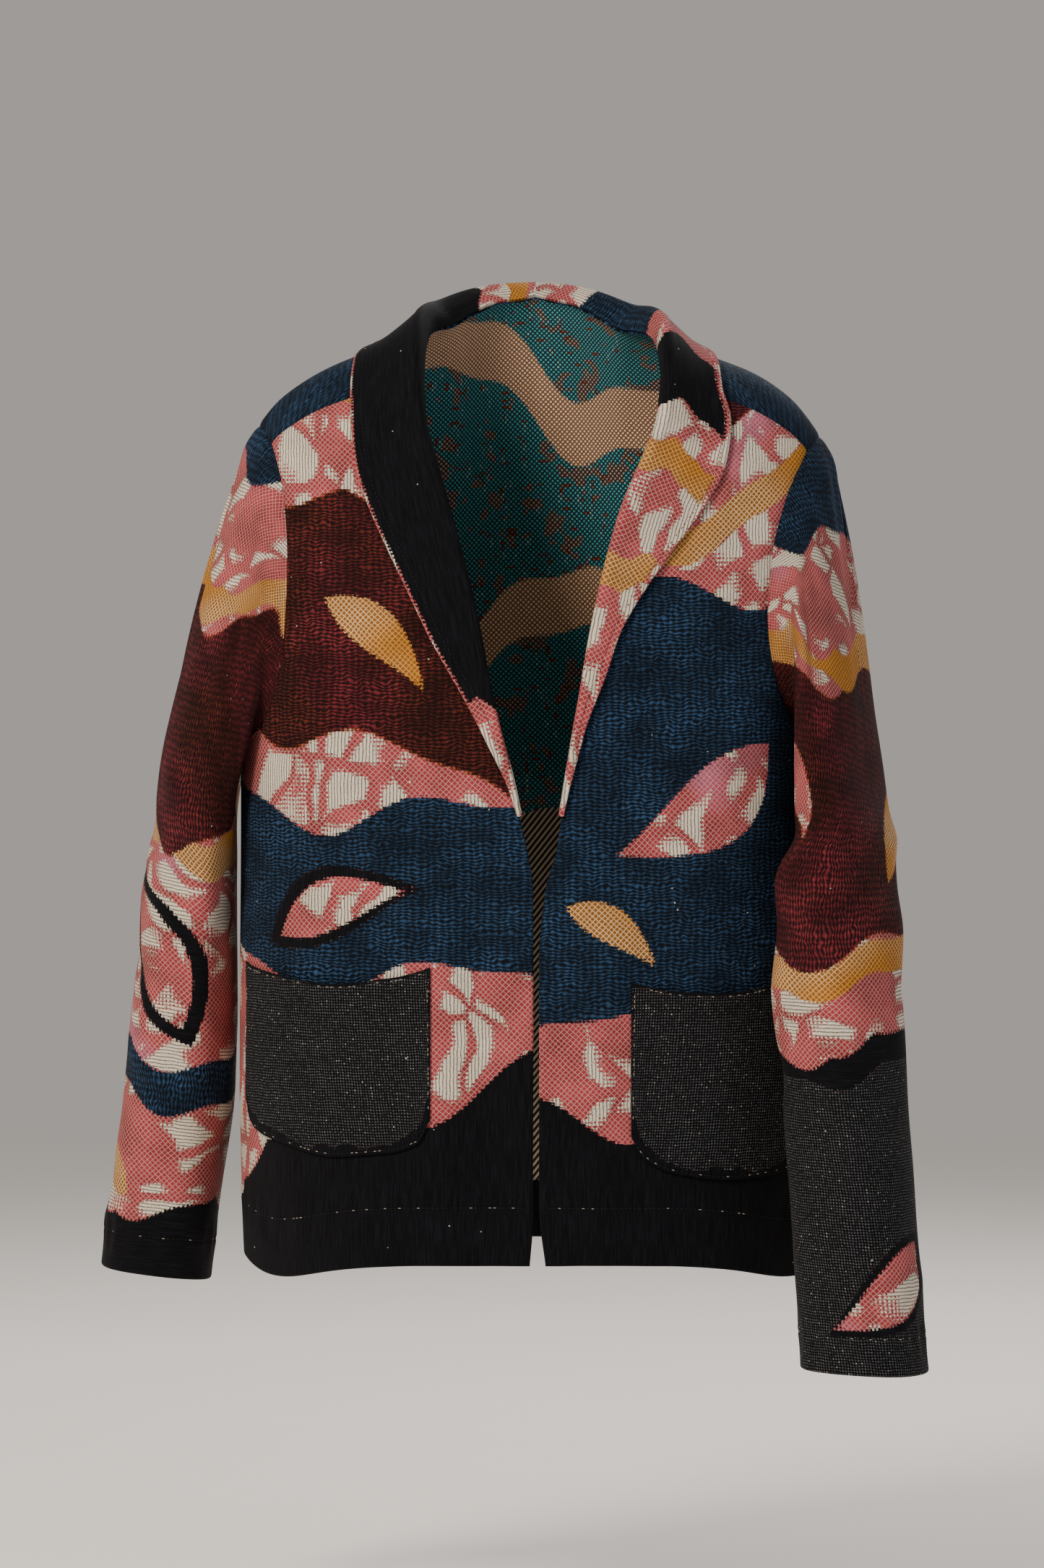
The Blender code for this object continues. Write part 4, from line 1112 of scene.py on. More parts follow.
# Stitches along lines on the cloth: each is a short tube of thread, its middle raised by a half sine,
# its ends thinner and sunk into the cloth
def sewStitches(name, lines, material, paleShare):
    share = np.linspace(-1.0, 1.0, sewing["stitchRings"])
    turn = np.linspace(0.0, 2.0 * np.pi, sewing["stitchSides"], endpoint=False)
    middleShare = np.cos(0.5 * np.pi * share)
    sunk, thin = sewing["threadSunk"], sewing["threadThin"]
    arch = sewing["threadRise"] * ((1.0 + sunk) * middleShare - sunk)
    radius = sewing["threadRadius"] * (thin + (1.0 - thin) * middleShare ** 0.5)
    rings = []
    for points, normals in lines:
        run = runLength(points[None], 1)[0]
        middles = np.arange(sewing["stitchPitch"], run[-1] - sewing["stitchPitch"], sewing["stitchPitch"])
        at = middles[:, None] + 0.5 * sewing["stitchLength"] * share
        spine, up = (
            np.stack([np.interp(at, run, values[:, axis]) for axis in range(3)], axis=-1)
            for values in (points, normals)
        )
        up = unitLength(up)
        beside = unitLength(np.cross(spine[:, -1:] - spine[:, :1], up))
        spine = spine + up * arch[:, None]
        ring = np.cos(turn)[:, None] * beside[:, :, None] + np.sin(turn)[:, None] * up[:, :, None]
        rings.append(spine[:, :, None] + radius[:, None, None] * ring)
    rings = np.concatenate(rings)
    count, along, around = rings.shape[:3]
    index = np.arange(count * along * around).reshape(count, along, around)
    beyond = np.roll(index, -1, axis=2)
    quads = np.stack([index[:, :-1], index[:, 1:], beyond[:, 1:], beyond[:, :-1]], axis=-1).reshape(-1, 4)
    caps = np.concatenate([index[:, 0], index[:, -1, ::-1]])
    mesh = bpy.data.meshes.new(name)
    mesh.from_pydata(rings.reshape(-1, 3).tolist(), [], quads.tolist() + caps.tolist())
    pale = (np.random.default_rng(len(name)).random(count) < paleShare).astype(np.float32)
    mesh.attributes.new("pale", "FLOAT", "POINT").data.foreach_set("value", np.repeat(pale, along * around))
    mesh.shade_smooth()
    mesh.materials.append(material)
    return addObject(name, mesh)


# Makes a piece of cloth and its stitches. The grid is its middle, normals and
# thickness. Each sewn line is the distance, value and mask of a line of stitches, and if it is upright.
def finishPiece(node, slotName, form, restsOn, grid, place, fields, sewn, thread, paleShare, **options):
    middle, normal, thickness = grid
    face, reverse = fields
    piece = clothMesh("jacket_" + node, *grid, place, {**face, **reverse}, **options)
    outside = middle + (0.5 * thickness)[..., None] * normal
    lines = [sewnLine(outside, normal, *line) for line in sewn]
    if options.get("ring"):
        lines = [[np.concatenate([part, part[:1]]) for part in line] for line in lines]
    stitches = sewStitches("jacket_" + node + "_stitches", lines, thread, paleShare)
    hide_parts(node)
    for thing in (piece, stitches):
        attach(thing, "root")


# Fronts

# The front edge is free below the two heights, and sewn to the collar above them
fronts = {
    "span": 0.20,
    "freeHeights": (-0.330, -0.300),
    "neckFree": 1.0,
    "hemStitchFrom": 0.003,
    "stripeBelow": -0.325,
    "right": {
        "side": -1.0,
        "flat": (0.235, 0.690),
        "area": 0.138,
        # Columns: colour, level, slope, wave height, wave length, phase, half width
        "bands": (
            ("black", -0.615, 0.34, 0.014, 0.230, 40.0, 0.120),
            ("coral", -0.466, 0.30, 0.014, 0.190, 60.0, 0.027),
            ("navy", -0.386, -0.10, 0.017, 0.250, 150.0, 0.058),
            ("oxblood", -0.236, -0.38, 0.019, 0.260, 200.0, 0.086),
            ("coral", -0.122, -0.46, 0.013, 0.190, 70.0, 0.030),
            ("ochre", -0.082, -0.46, 0.010, 0.160, 20.0, 0.014),
            ("navy", -0.002, -0.50, 0.014, 0.200, 90.0, 0.067),
        ),
        # Columns: colour, distance from the centre, height, tilt, half length, half width
        "leaves": (
            ("ochre", -0.112, -0.196, -42.0, 0.050, 0.015),
            ("black", -0.142, -0.384, 18.0, 0.064, 0.025),
            ("coral", -0.142, -0.384, 18.0, 0.052, 0.017),
        ),
    },
    "left": {
        "side": 1.0,
        "flat": (0.230, 0.690),
        "area": 0.133,
        "bands": (
            ("black", -0.638, -0.10, 0.013, 0.240, 120.0, 0.118),
            ("coral", -0.503, -0.10, 0.013, 0.210, 150.0, 0.024),
            ("navy", -0.330, 0.16, 0.018, 0.260, 30.0, 0.152),
            ("ochre", -0.166, 0.44, 0.010, 0.160, 0.0, 0.013),
            ("coral", -0.124, 0.44, 0.013, 0.180, 90.0, 0.032),
            ("oxblood", -0.040, 0.50, 0.014, 0.210, 40.0, 0.056),
            ("coral", 0.044, 0.50, 0.012, 0.210, 40.0, 0.032),
        ),
        "leaves": (
            ("coral", 0.118, -0.315, 214.0, 0.070, 0.026),
            ("ochre", 0.056, -0.402, -34.0, 0.040, 0.012),
        ),
    },
}


# Front panel: a share runs from the front edge or neck seam to the side seam or armhole along each row
def buildFront(name):
    form = fronts[name]
    side = form["side"]
    rises = panelRises(bodyForm["shoulderSeam"])
    start = frontEdgeDistance(side, rises)
    inner = angleAt(side, start, rises)
    outer = outerAngle(side, rises)
    share = closeSteps(fronts["span"], sewing["grid"], (sewing["edgeStitch"],)) / fronts["span"]
    angle = inner[:, None] + (outer - inner)[:, None] * share
    rise = np.repeat(rises[:, None], len(share), axis=1)
    rise[-1] -= halfGap(side, angle[-1], rise[-1])[1]
    middle, normal = bodyCloth(side, angle, rise)
    across, up = runLength(middle, 1), runLength(middle, 0)
    fromSide, fromTop = across[:, -1:] - across, up[-1:] - up
    along = heightAlong(side, angle, rise)
    place = np.stack([side * (start[:, None] + across), along], axis=-1)
    free = 1.0 - easeStep(*fronts["freeHeights"], middle[..., 2])
    fold = np.maximum(turnedIn(up, sewing["hemTurn"]), turnedIn(across, sewing["edgeTurn"]) * free)
    fromNeck = np.where(free > 0.5, fronts["neckFree"], across)
    lift = panelCreases(middle, np.minimum(np.minimum(fromSide, fromTop), fromNeck))
    lift = lift + seamValley(fromSide) + seamValley(fromTop) + seamValley(across) * (1.0 - free)
    lift = lift + stitchGroove(across - sewing["edgeStitch"]) * free
    lift = lift + hemLift(up, sewing["hemTurn"], across, fold)
    middle = middle + normal * lift[..., None]
    edge = roundedEdge(across, bodyForm["wall"] + sewing["turnExtra"])
    thickness = hemmedThickness(up, fold) * np.where(free > 0.5, edge, 1.0)
    face, reverse = startFields(along.shape)
    paintBands(face, place[..., 0], along, form["bands"])
    paintLeaves(face, place[..., 0], along, form["leaves"])
    paint(reverse, "stripe", fronts["stripeBelow"] - along)
    line = (up, sewing["hemTurn"], across > fronts["hemStitchFrom"])
    finishPiece(
        "front_" + name, "jacquard_navy", form, ("jacket_back", "jacket_sleeve_" + name),
        (middle, normal, thickness), place, (face, reverse), [line], darkThread, sewing["paleHem"],
        turned=fold,
    )


# Back

backForm = {
    "neckColumns": 37,
    "span": 0.12,
    # Share of the neck's half width, rise of the seam, distance of the collar's outer edge, its rise, stand
    "neck": (
        (0.00, 116.0, 0.0000, 130.5, 0.0205),
        (0.17, 114.5, 0.0270, 128.5, 0.0210),
        (0.34, 111.5, 0.0520, 123.0, 0.0220),
        (0.52, 107.0, 0.0760, 115.0, 0.0230),
        (0.68, 101.5, 0.0960, 107.0, 0.0225),
        (0.80, 96.0, 0.1100, 99.5, 0.0210),
        (0.88, 90.5, 0.1190, 92.5, 0.0190),
        (0.94, 83.5, 0.1255, 85.0, 0.0175),
        (0.98, 74.5, 0.1290, 75.5, 0.0165),
        (1.00, 64.0, 0.1305, 65.5, 0.0160),
    ),
    "flat": (0.440, 0.790),
    "area": 0.335,
    "bands": (
        ("black", -0.640, 0.05, 0.015, 0.280, 30.0, 0.115),
        ("coral", -0.500, 0.05, 0.014, 0.240, 50.0, 0.027),
        ("navy", -0.410, -0.08, 0.020, 0.310, 60.0, 0.066),
        ("coral", -0.325, -0.12, 0.016, 0.250, 160.0, 0.030),
        ("oxblood", -0.222, -0.10, 0.020, 0.320, 220.0, 0.084),
        ("ochre", -0.136, -0.06, 0.011, 0.210, 40.0, 0.014),
        ("coral", -0.090, 0.05, 0.015, 0.250, 110.0, 0.034),
        ("navy", 0.060, 0.08, 0.016, 0.290, 20.0, 0.120),
    ),
    "reverseBands": (
        ("beige", -0.010, -0.30, 0.022, 0.190, 200.0, 0.024),
        ("beige", -0.190, 0.22, 0.018, 0.170, 60.0, 0.021),
        ("stripe", -0.625, 0.00, 0.004, 0.130, 0.0, 0.300),
    ),
    "leaves": (
        ("ochre", 0.062, -0.232, 22.0, 0.052, 0.016),
        ("navy", -0.110, -0.235, 150.0, 0.052, 0.018),
        ("black", -0.076, -0.418, -26.0, 0.066, 0.026),
        ("coral", -0.076, -0.418, -26.0, 0.053, 0.018),
        ("coral", 0.130, -0.415, 30.0, 0.056, 0.019),
    ),
}


# Half width of the neck at the shoulder seam
def neckHalfWidth(side):
    return float(frontEdgeDistance(side, np.array([bodyForm["shoulderSeam"]]))[0])


# Distance and rise of the back neck seam at a place along its table's rows
def neckSeam(side, index):
    rows = np.arange(len(backForm["neck"]))
    table = smoothTable(rows, np.array(backForm["neck"])[:, :2], index)
    return neckHalfWidth(side) * table[..., 0], table[..., 1]


# Half of the back's grid: columns under the neck keep their distance from the centre, the others
# spread from the neck point to the side seam and armhole, and each column's rows end at its own seam
def backHalf(side):
    top = 180.0 - bodyForm["shoulderSeam"]
    rises = panelRises(top)
    below = rises < 0.0
    index = np.linspace(0.0, len(backForm["neck"]) - 1.0, backForm["neckColumns"])
    distance, seamRise = neckSeam(side, index)
    share = closeSteps(backForm["span"], sewing["grid"])[1:] / backForm["span"]
    climb = np.concatenate([180.0 - seamRise, np.full(len(share), top)]) / top
    rise = 180.0 - np.where(below[:, None], rises[:, None], rises[:, None] * climb)
    neck = len(index)
    angle = np.zeros_like(rise)
    angle[:, :neck] = angleAt(side, distance, rise[:, :neck])
    start = angle[:, neck - 1]
    edge = outerAngle(side, rise[:, -1])
    angle[:, neck:] = start[:, None] + (edge - start)[:, None] * share
    rise[-1, neck - 1:] += halfGap(side, angle[-1, neck - 1:], rise[-1, neck - 1:])[1]
    middle, normal = bodyCloth(side, angle, rise)
    normal[:, 0, 0] = 0.0
    middle[:, 0, 0] = 0.0
    along = heightAlong(side, angle, rise)
    ridge = heightAlong(side, angle, 90.0 + 0.0 * rise)
    along = np.where(rise < 90.0, 2.0 * ridge - along, along)
    return middle, unitLength(normal), along, levelRun(side, angle, rise)


# Back: both halves side by side, the right one mirrored, with one column at the centre
def buildBack():
    halves = [backHalf(side) for side in (-1.0, 1.0)]
    middle, normal, along, fromCentre = (
        np.concatenate([right[:, :0:-1], left], axis=1) for right, left in zip(*halves)
    )
    across, up = runLength(middle, 1), runLength(middle, 0)
    fromSide, fromTop = np.minimum(across, across[:, -1:] - across), up[-1:] - up
    fold = turnedIn(up, sewing["hemTurn"])
    lift = panelCreases(middle, np.minimum(fromSide, fromTop)) + seamValley(fromSide) + seamValley(fromTop)
    lift = lift + hemLift(up, sewing["hemTurn"], across, fold)
    middle = middle + normal * lift[..., None]
    face, reverse = startFields(along.shape)
    paintBands(face, fromCentre, along, backForm["bands"])
    paintLeaves(face, fromCentre, along, backForm["leaves"])
    paintBands(reverse, fromCentre, along, backForm["reverseBands"])
    finishPiece(
        "back", "jacquard_navy", backForm, ("jacket_front_right", "jacket_front_left"),
        (middle, normal, hemmedThickness(up, fold)), np.stack([fromCentre, along], axis=-1), (face, reverse),
        [(up, sewing["hemTurn"])], darkThread, sewing["paleHem"], turned=fold,
    )


# Sleeves

# Head: millimetres along the body's cloth and out from it at the underarm, the middle, the shoulder.
# Sections: height, distance from the centre, place along Y, half width, half depth, turn, rise of the
# outer side. Folds and creases: place around, height, half width around in degrees, half height,
# depth, and how far the fold climbs per degree.
sleeves = {
    "head": (
        (0.3, 0.0, 0.3, 0.0, 0.3, 0.0),
        (3.0, 0.8, 4.0, 0.8, 6.0, 0.4),
        (4.2, 3.2, 8.0, 3.6, 13.0, 0.4),
        (2.5, 5.6, 11.5, 6.5, 20.0, -0.6),
        (-4.0, 7.5, 14.5, 9.5, 27.0, -3.0),
    ),
    "lowSteps": 13,
    "lowPower": 1.5,
    "firstRise": 1.5,
    "riseStep": 1.6,
    "lastRise": 63.2,
    "ridgeSteps": 29,
    "shoulderStart": 0.55,
    "shoulderReach": 0.4,
    "underarmReach": 0.30,
    "forwardCalm": 0.8,
    "normalReach": 0.005,
    "capCalm": 0.25,
    "creaseShare": 1.6,
    "stripeBelow": -0.40,
    "right": {
        "side": -1.0,
        "flat": (0.440, 0.630),
        "area": 0.167,
        "cuffStitch": 0.028,
        "sections": (
            (-0.320, 0.2415, 0.010, 0.0265, 0.076, 0.0, 0.060),
            (-0.360, 0.2450, 0.016, 0.0295, 0.070, 0.0, 0.035),
            (-0.405, 0.2485, 0.022, 0.0330, 0.063, 0.0, 0.015),
            (-0.455, 0.2520, 0.027, 0.0365, 0.056, 0.0, 0.005),
            (-0.515, 0.2555, 0.031, 0.0385, 0.050, 0.0, 0.002),
            (-0.585, 0.2645, 0.035, 0.0385, 0.047, 0.0, 0.004),
            (-0.654, 0.2740, 0.040, 0.0390, 0.045, 0.0, 0.010),
        ),
        "folds": (
            (72.0, -0.420, 16.0, 0.150, 0.0050, 0.0),
            (150.0, -0.380, 40.0, 0.022, 0.0030, 0.0),
            (120.0, -0.450, 36.0, 0.018, -0.0030, 0.0),
            (250.0, -0.430, 40.0, 0.020, 0.0030, 0.0),
            (140.0, -0.560, 40.0, 0.020, 0.0025, 0.0),
        ),
        "creases": (
            (120.0, -0.300, 26.0, 0.010, 0.0016, 0.0005),
            (150.0, -0.340, 30.0, 0.009, -0.0016, 0.0004),
            (110.0, -0.400, 28.0, 0.009, 0.0017, -0.0003),
            (165.0, -0.430, 32.0, 0.010, -0.0014, 0.0003),
            (130.0, -0.500, 28.0, 0.010, 0.0015, 0.0004),
            (200.0, -0.360, 30.0, 0.011, 0.0014, -0.0004),
            (230.0, -0.480, 30.0, 0.010, -0.0015, 0.0003),
            (270.0, -0.380, 28.0, 0.011, 0.0015, 0.0004),
            (300.0, -0.450, 26.0, 0.010, 0.0014, -0.0003),
            (160.0, -0.610, 34.0, 0.010, 0.0012, -0.0002),
        ),
        # Columns: colour, level, slope, wave height, wave length, phase, half width
        "bands": (
            ("black", -0.640, 0.02, 0.010, 0.120, 0.0, 0.044),
            ("coral", -0.540, 0.06, 0.011, 0.150, 40.0, 0.057),
            ("navy", -0.502, 0.12, 0.010, 0.140, 90.0, 0.016),
            ("coral", -0.416, 0.08, 0.012, 0.160, 70.0, 0.070),
            ("ochre", -0.332, 0.10, 0.010, 0.150, 170.0, 0.013),
            ("oxblood", -0.244, 0.12, 0.016, 0.180, 60.0, 0.078),
            ("ochre", -0.154, 0.12, 0.010, 0.150, 60.0, 0.013),
            ("coral", -0.104, 0.10, 0.012, 0.160, 110.0, 0.038),
            ("navy", -0.022, 0.10, 0.012, 0.180, 30.0, 0.046),
        ),
        # Columns: colour, distance from the ridge, height, tilt, half length, half width
        "leaves": (
            ("black", -0.046, -0.415, 58.0, 0.080, 0.031),
            ("coral", -0.046, -0.415, 58.0, 0.067, 0.022),
            ("black", 0.078, -0.425, 238.0, 0.076, 0.030),
            ("coral", 0.078, -0.425, 238.0, 0.063, 0.021),
            ("ochre", -0.012, -0.572, 34.0, 0.038, 0.012),
            ("oxblood", 0.110, -0.560, -30.0, 0.040, 0.014),
        ),
    },
    "left": {
        "side": 1.0,
        "flat": (0.440, 0.640),
        "area": 0.171,
        "cuffStitch": 0.026,
        "sections": (
            (-0.315, 0.2150, -0.050, 0.0200, 0.073, 20.0, 0.050),
            (-0.360, 0.2110, -0.084, 0.0300, 0.057, 34.0, 0.030),
            (-0.430, 0.2110, -0.111, 0.0395, 0.046, 40.0, 0.012),
            (-0.500, 0.2150, -0.124, 0.0400, 0.0440, 35.0, 0.005),
            (-0.570, 0.2205, -0.134, 0.0405, 0.0430, 30.0, 0.001),
            (-0.640, 0.2255, -0.142, 0.0415, 0.0430, 25.0, -0.002),
            (-0.706, 0.2295, -0.148, 0.0430, 0.0430, 20.0, -0.004),
        ),
        "folds": (
            (60.0, -0.400, 34.0, 0.022, -0.0035, 0.0),
            (110.0, -0.450, 38.0, 0.018, 0.0030, 0.0),
            (200.0, -0.400, 40.0, 0.022, 0.0030, 0.0),
            (40.0, -0.500, 34.0, 0.020, -0.0028, 0.0),
            (300.0, -0.430, 40.0, 0.024, -0.0030, 0.0),
            (100.0, -0.600, 44.0, 0.020, 0.0020, 0.0),
        ),
        "creases": (
            (100.0, -0.300, 28.0, 0.010, 0.0016, -0.0004),
            (75.0, -0.345, 26.0, 0.009, -0.0015, -0.0005),
            (130.0, -0.375, 30.0, 0.010, 0.0016, 0.0003),
            (85.0, -0.425, 26.0, 0.009, 0.0015, 0.0004),
            (150.0, -0.470, 32.0, 0.010, -0.0014, -0.0003),
            (110.0, -0.520, 28.0, 0.009, 0.0014, 0.0004),
            (220.0, -0.340, 30.0, 0.011, 0.0014, 0.0004),
            (250.0, -0.450, 30.0, 0.010, -0.0014, -0.0003),
            (280.0, -0.380, 28.0, 0.011, 0.0014, 0.0003),
            (170.0, -0.650, 34.0, 0.010, 0.0012, 0.0002),
        ),
        "bands": (
            ("charcoal", -0.620, 0.00, 0.010, 0.150, 0.0, 0.134),
            ("black", -0.486, 0.06, 0.008, 0.130, 50.0, 0.012),
            ("coral", -0.456, 0.05, 0.011, 0.150, 90.0, 0.022),
            ("ochre", -0.424, 0.05, 0.009, 0.140, 60.0, 0.011),
            ("oxblood", -0.318, -0.05, 0.015, 0.190, 40.0, 0.096),
            ("ochre", -0.212, -0.10, 0.010, 0.150, 10.0, 0.013),
            ("coral", -0.166, -0.12, 0.014, 0.170, 80.0, 0.036),
            ("navy", -0.082, -0.10, 0.012, 0.160, 150.0, 0.050),
            ("coral", -0.016, -0.10, 0.010, 0.160, 30.0, 0.018),
            ("navy", 0.030, -0.10, 0.010, 0.160, 30.0, 0.030),
        ),
        "leaves": (
            ("black", -0.030, -0.650, 216.0, 0.062, 0.026),
            ("coral", -0.030, -0.650, 216.0, 0.050, 0.018),
            ("ochre", 0.045, -0.330, 48.0, 0.046, 0.014),
            ("coral", -0.110, -0.300, -40.0, 0.050, 0.018),
        ),
    },
}


# Ring of the armhole from the underarm over the front, shoulder and back: points of the body, the
# cloth's direction away from the seam and its normal, and a turn that is half way at the ridge
def armholeRing(side):
    roots = sewing["lastRoot"] * np.linspace(0.0, 1.0, sleeves["lowSteps"])[1:] ** sleeves["lowPower"]
    bend = np.degrees(np.arcsin(roots ** 2))
    over = np.arange(bend[-1] + sleeves["firstRise"], sleeves["lastRise"], sleeves["riseStep"])
    upper = np.concatenate([bend, over])
    ridge = np.linspace(bodyForm["shoulderSeam"], 180.0 - bodyForm["shoulderSeam"], sleeves["ridgeSteps"])
    rise = np.concatenate([[0.0], upper, ridge, 180.0 - upper[::-1]])
    points, normal = bodyCloth(side, angleAt(side, armholeDistance(side, rise), rise), rise)
    tangent = np.roll(points, -1, axis=0) - np.roll(points, 1, axis=0)
    away = -side * unitLength(np.cross(normal, tangent))
    length = runLength(np.concatenate([points, points[:1]])[None], 1)[0]
    middle = np.interp(90.0, rise, length[:-1])
    around = np.interp(length[:-1], [0.0, middle, length[-1]], [0.0, np.pi, 2.0 * np.pi])
    return points, away, normal, around


# Guides of a sleeve: rounds that start square to the armhole and turn down into level sections
def sleeveGuides(side, sections):
    points, away, normal, around = armholeRing(side)
    up = 0.5 - 0.5 * np.cos(around)
    shoulder = np.clip((up - sleeves["shoulderStart"]) / sleeves["shoulderReach"], 0.0, 1.0)
    underarm = np.clip((sleeves["underarmReach"] - up) / sleeves["underarmReach"], 0.0, 1.0)
    shares = np.array([underarm, 1.0 - shoulder - underarm, shoulder])
    away[:, 1] *= 1.0 - sleeves["forwardCalm"] * shoulder
    away = unitLength(away)
    guides = []
    for row in sleeves["head"]:
        along, out = (0.001 * (np.array(row[first::2]) @ shares) for first in (0, 1))
        guides.append(points + away * along[:, None] + normal * out[:, None])
    for height, distance, depthPlace, halfAcross, halfDeep, turn, slope in sections:
        turned = np.radians(turn)
        outward = np.array([side * np.cos(turned), -np.sin(turned)])
        forward = np.array([-side * np.sin(turned), -np.cos(turned)])
        level = np.array([side * distance, depthPlace]) - (halfAcross * ringAcross(around))[:, None] * outward
        level = level + (halfDeep * ringDeep(around))[:, None] * forward
        guides.append(np.column_stack([level, height - 0.5 * slope * np.cos(around)]))
    return np.array(guides), normal, around


# Height of a sleeve's folds: bells around and along the arm, climbing around it by their last column
def sleeveFolds(folds, around, heights):
    total = np.zeros(heights.shape)
    for place, height, spread, tall, depth, climb in folds:
        turn = (np.degrees(around) - place + 180.0) % 360.0 - 180.0
        level = height + climb * turn
        total = total + depth * np.exp(-((turn / spread) ** 2) - ((heights - level) / tall) ** 2)
    return total


# Sleeve: guides from the armhole to the cuff, read smoothly at close steps and closed all round. Its folds
# fade in below the head, and the design lies around from the ridge and at the height of each point.
def buildSleeve(name):
    form = sleeves[name]
    side = form["side"]
    guides, startNormal, around = sleeveGuides(side, form["sections"])
    head = len(sleeves["head"])
    step = np.linalg.norm(np.diff(guides, axis=0), axis=2).mean(axis=1)
    at = np.concatenate([[0.0], np.cumsum(step)])
    where = closeSteps(at[-1], sewing["grid"], (at[-1] - form["cuffStitch"],))
    middle = smoothTable(at, guides, where)
    roundStep = np.roll(middle, -1, axis=1) - np.roll(middle, 1, axis=1)
    normal = -side * unitLength(np.cross(roundStep, np.gradient(middle, where, axis=0)))
    start = (1.0 - easeStep(0.0, sleeves["normalReach"], where))[:, None, None]
    normal = unitLength(normal * (1.0 - start) + startNormal * start)
    capEnd = (where - at[head - 1]) / (at[head] - at[head - 1])
    fade = np.clip((capEnd - sleeves["capCalm"]) / (1.0 - sleeves["capCalm"]), 0.0, 1.0)[:, None]
    heights = middle[..., 2]
    fromArmhole = where[:, None] + 0.0 * heights
    fromCuff = (where[-1] - where)[:, None] + 0.0 * heights
    closed = np.concatenate([middle, middle[:, :1]], axis=1)
    roundRun = runLength(closed, 1)
    ridge = np.argmin(np.abs(around - np.pi))
    outside = roundRun - roundRun[:, ridge:ridge + 1]
    fromUnderseam = np.minimum(roundRun, roundRun[:, -1:] - roundRun)[:, :-1]
    fold = turnedIn(fromCuff, form["cuffStitch"])
    creases = sleeves["creaseShare"] * sleeveFolds(form["creases"], around, heights)
    lift = (sleeveFolds(form["folds"], around, heights) + creases + sway(middle)) * fade
    lift = lift + seamValley(fromArmhole) + seamValley(fromUnderseam)
    lift = lift + hemLift(fromCuff, form["cuffStitch"], roundRun[:, :-1], fold)
    middle = middle + normal * lift[..., None]
    down = runLength(closed, 0)
    heights = np.concatenate([heights, heights[:, :1]], axis=1)
    face, reverse = startFields(outside.shape)
    paintBands(face, outside, heights, form["bands"])
    paintLeaves(face, outside, heights, form["leaves"])
    paint(reverse, "stripe", sleeves["stripeBelow"] - heights)
    finishPiece(
        "sleeve_" + name, "jacquard_coral", form, ("jacket_front_" + name, "jacket_back"),
        (middle, normal, hemmedThickness(fromCuff, fold)), np.stack([down[-1:] - down, outside], axis=-1),
        (face, reverse), [(fromCuff, form["cuffStitch"])], darkThread, sewing["paleCuff"],
        ring=True, turned=fold,
    )


# Collar

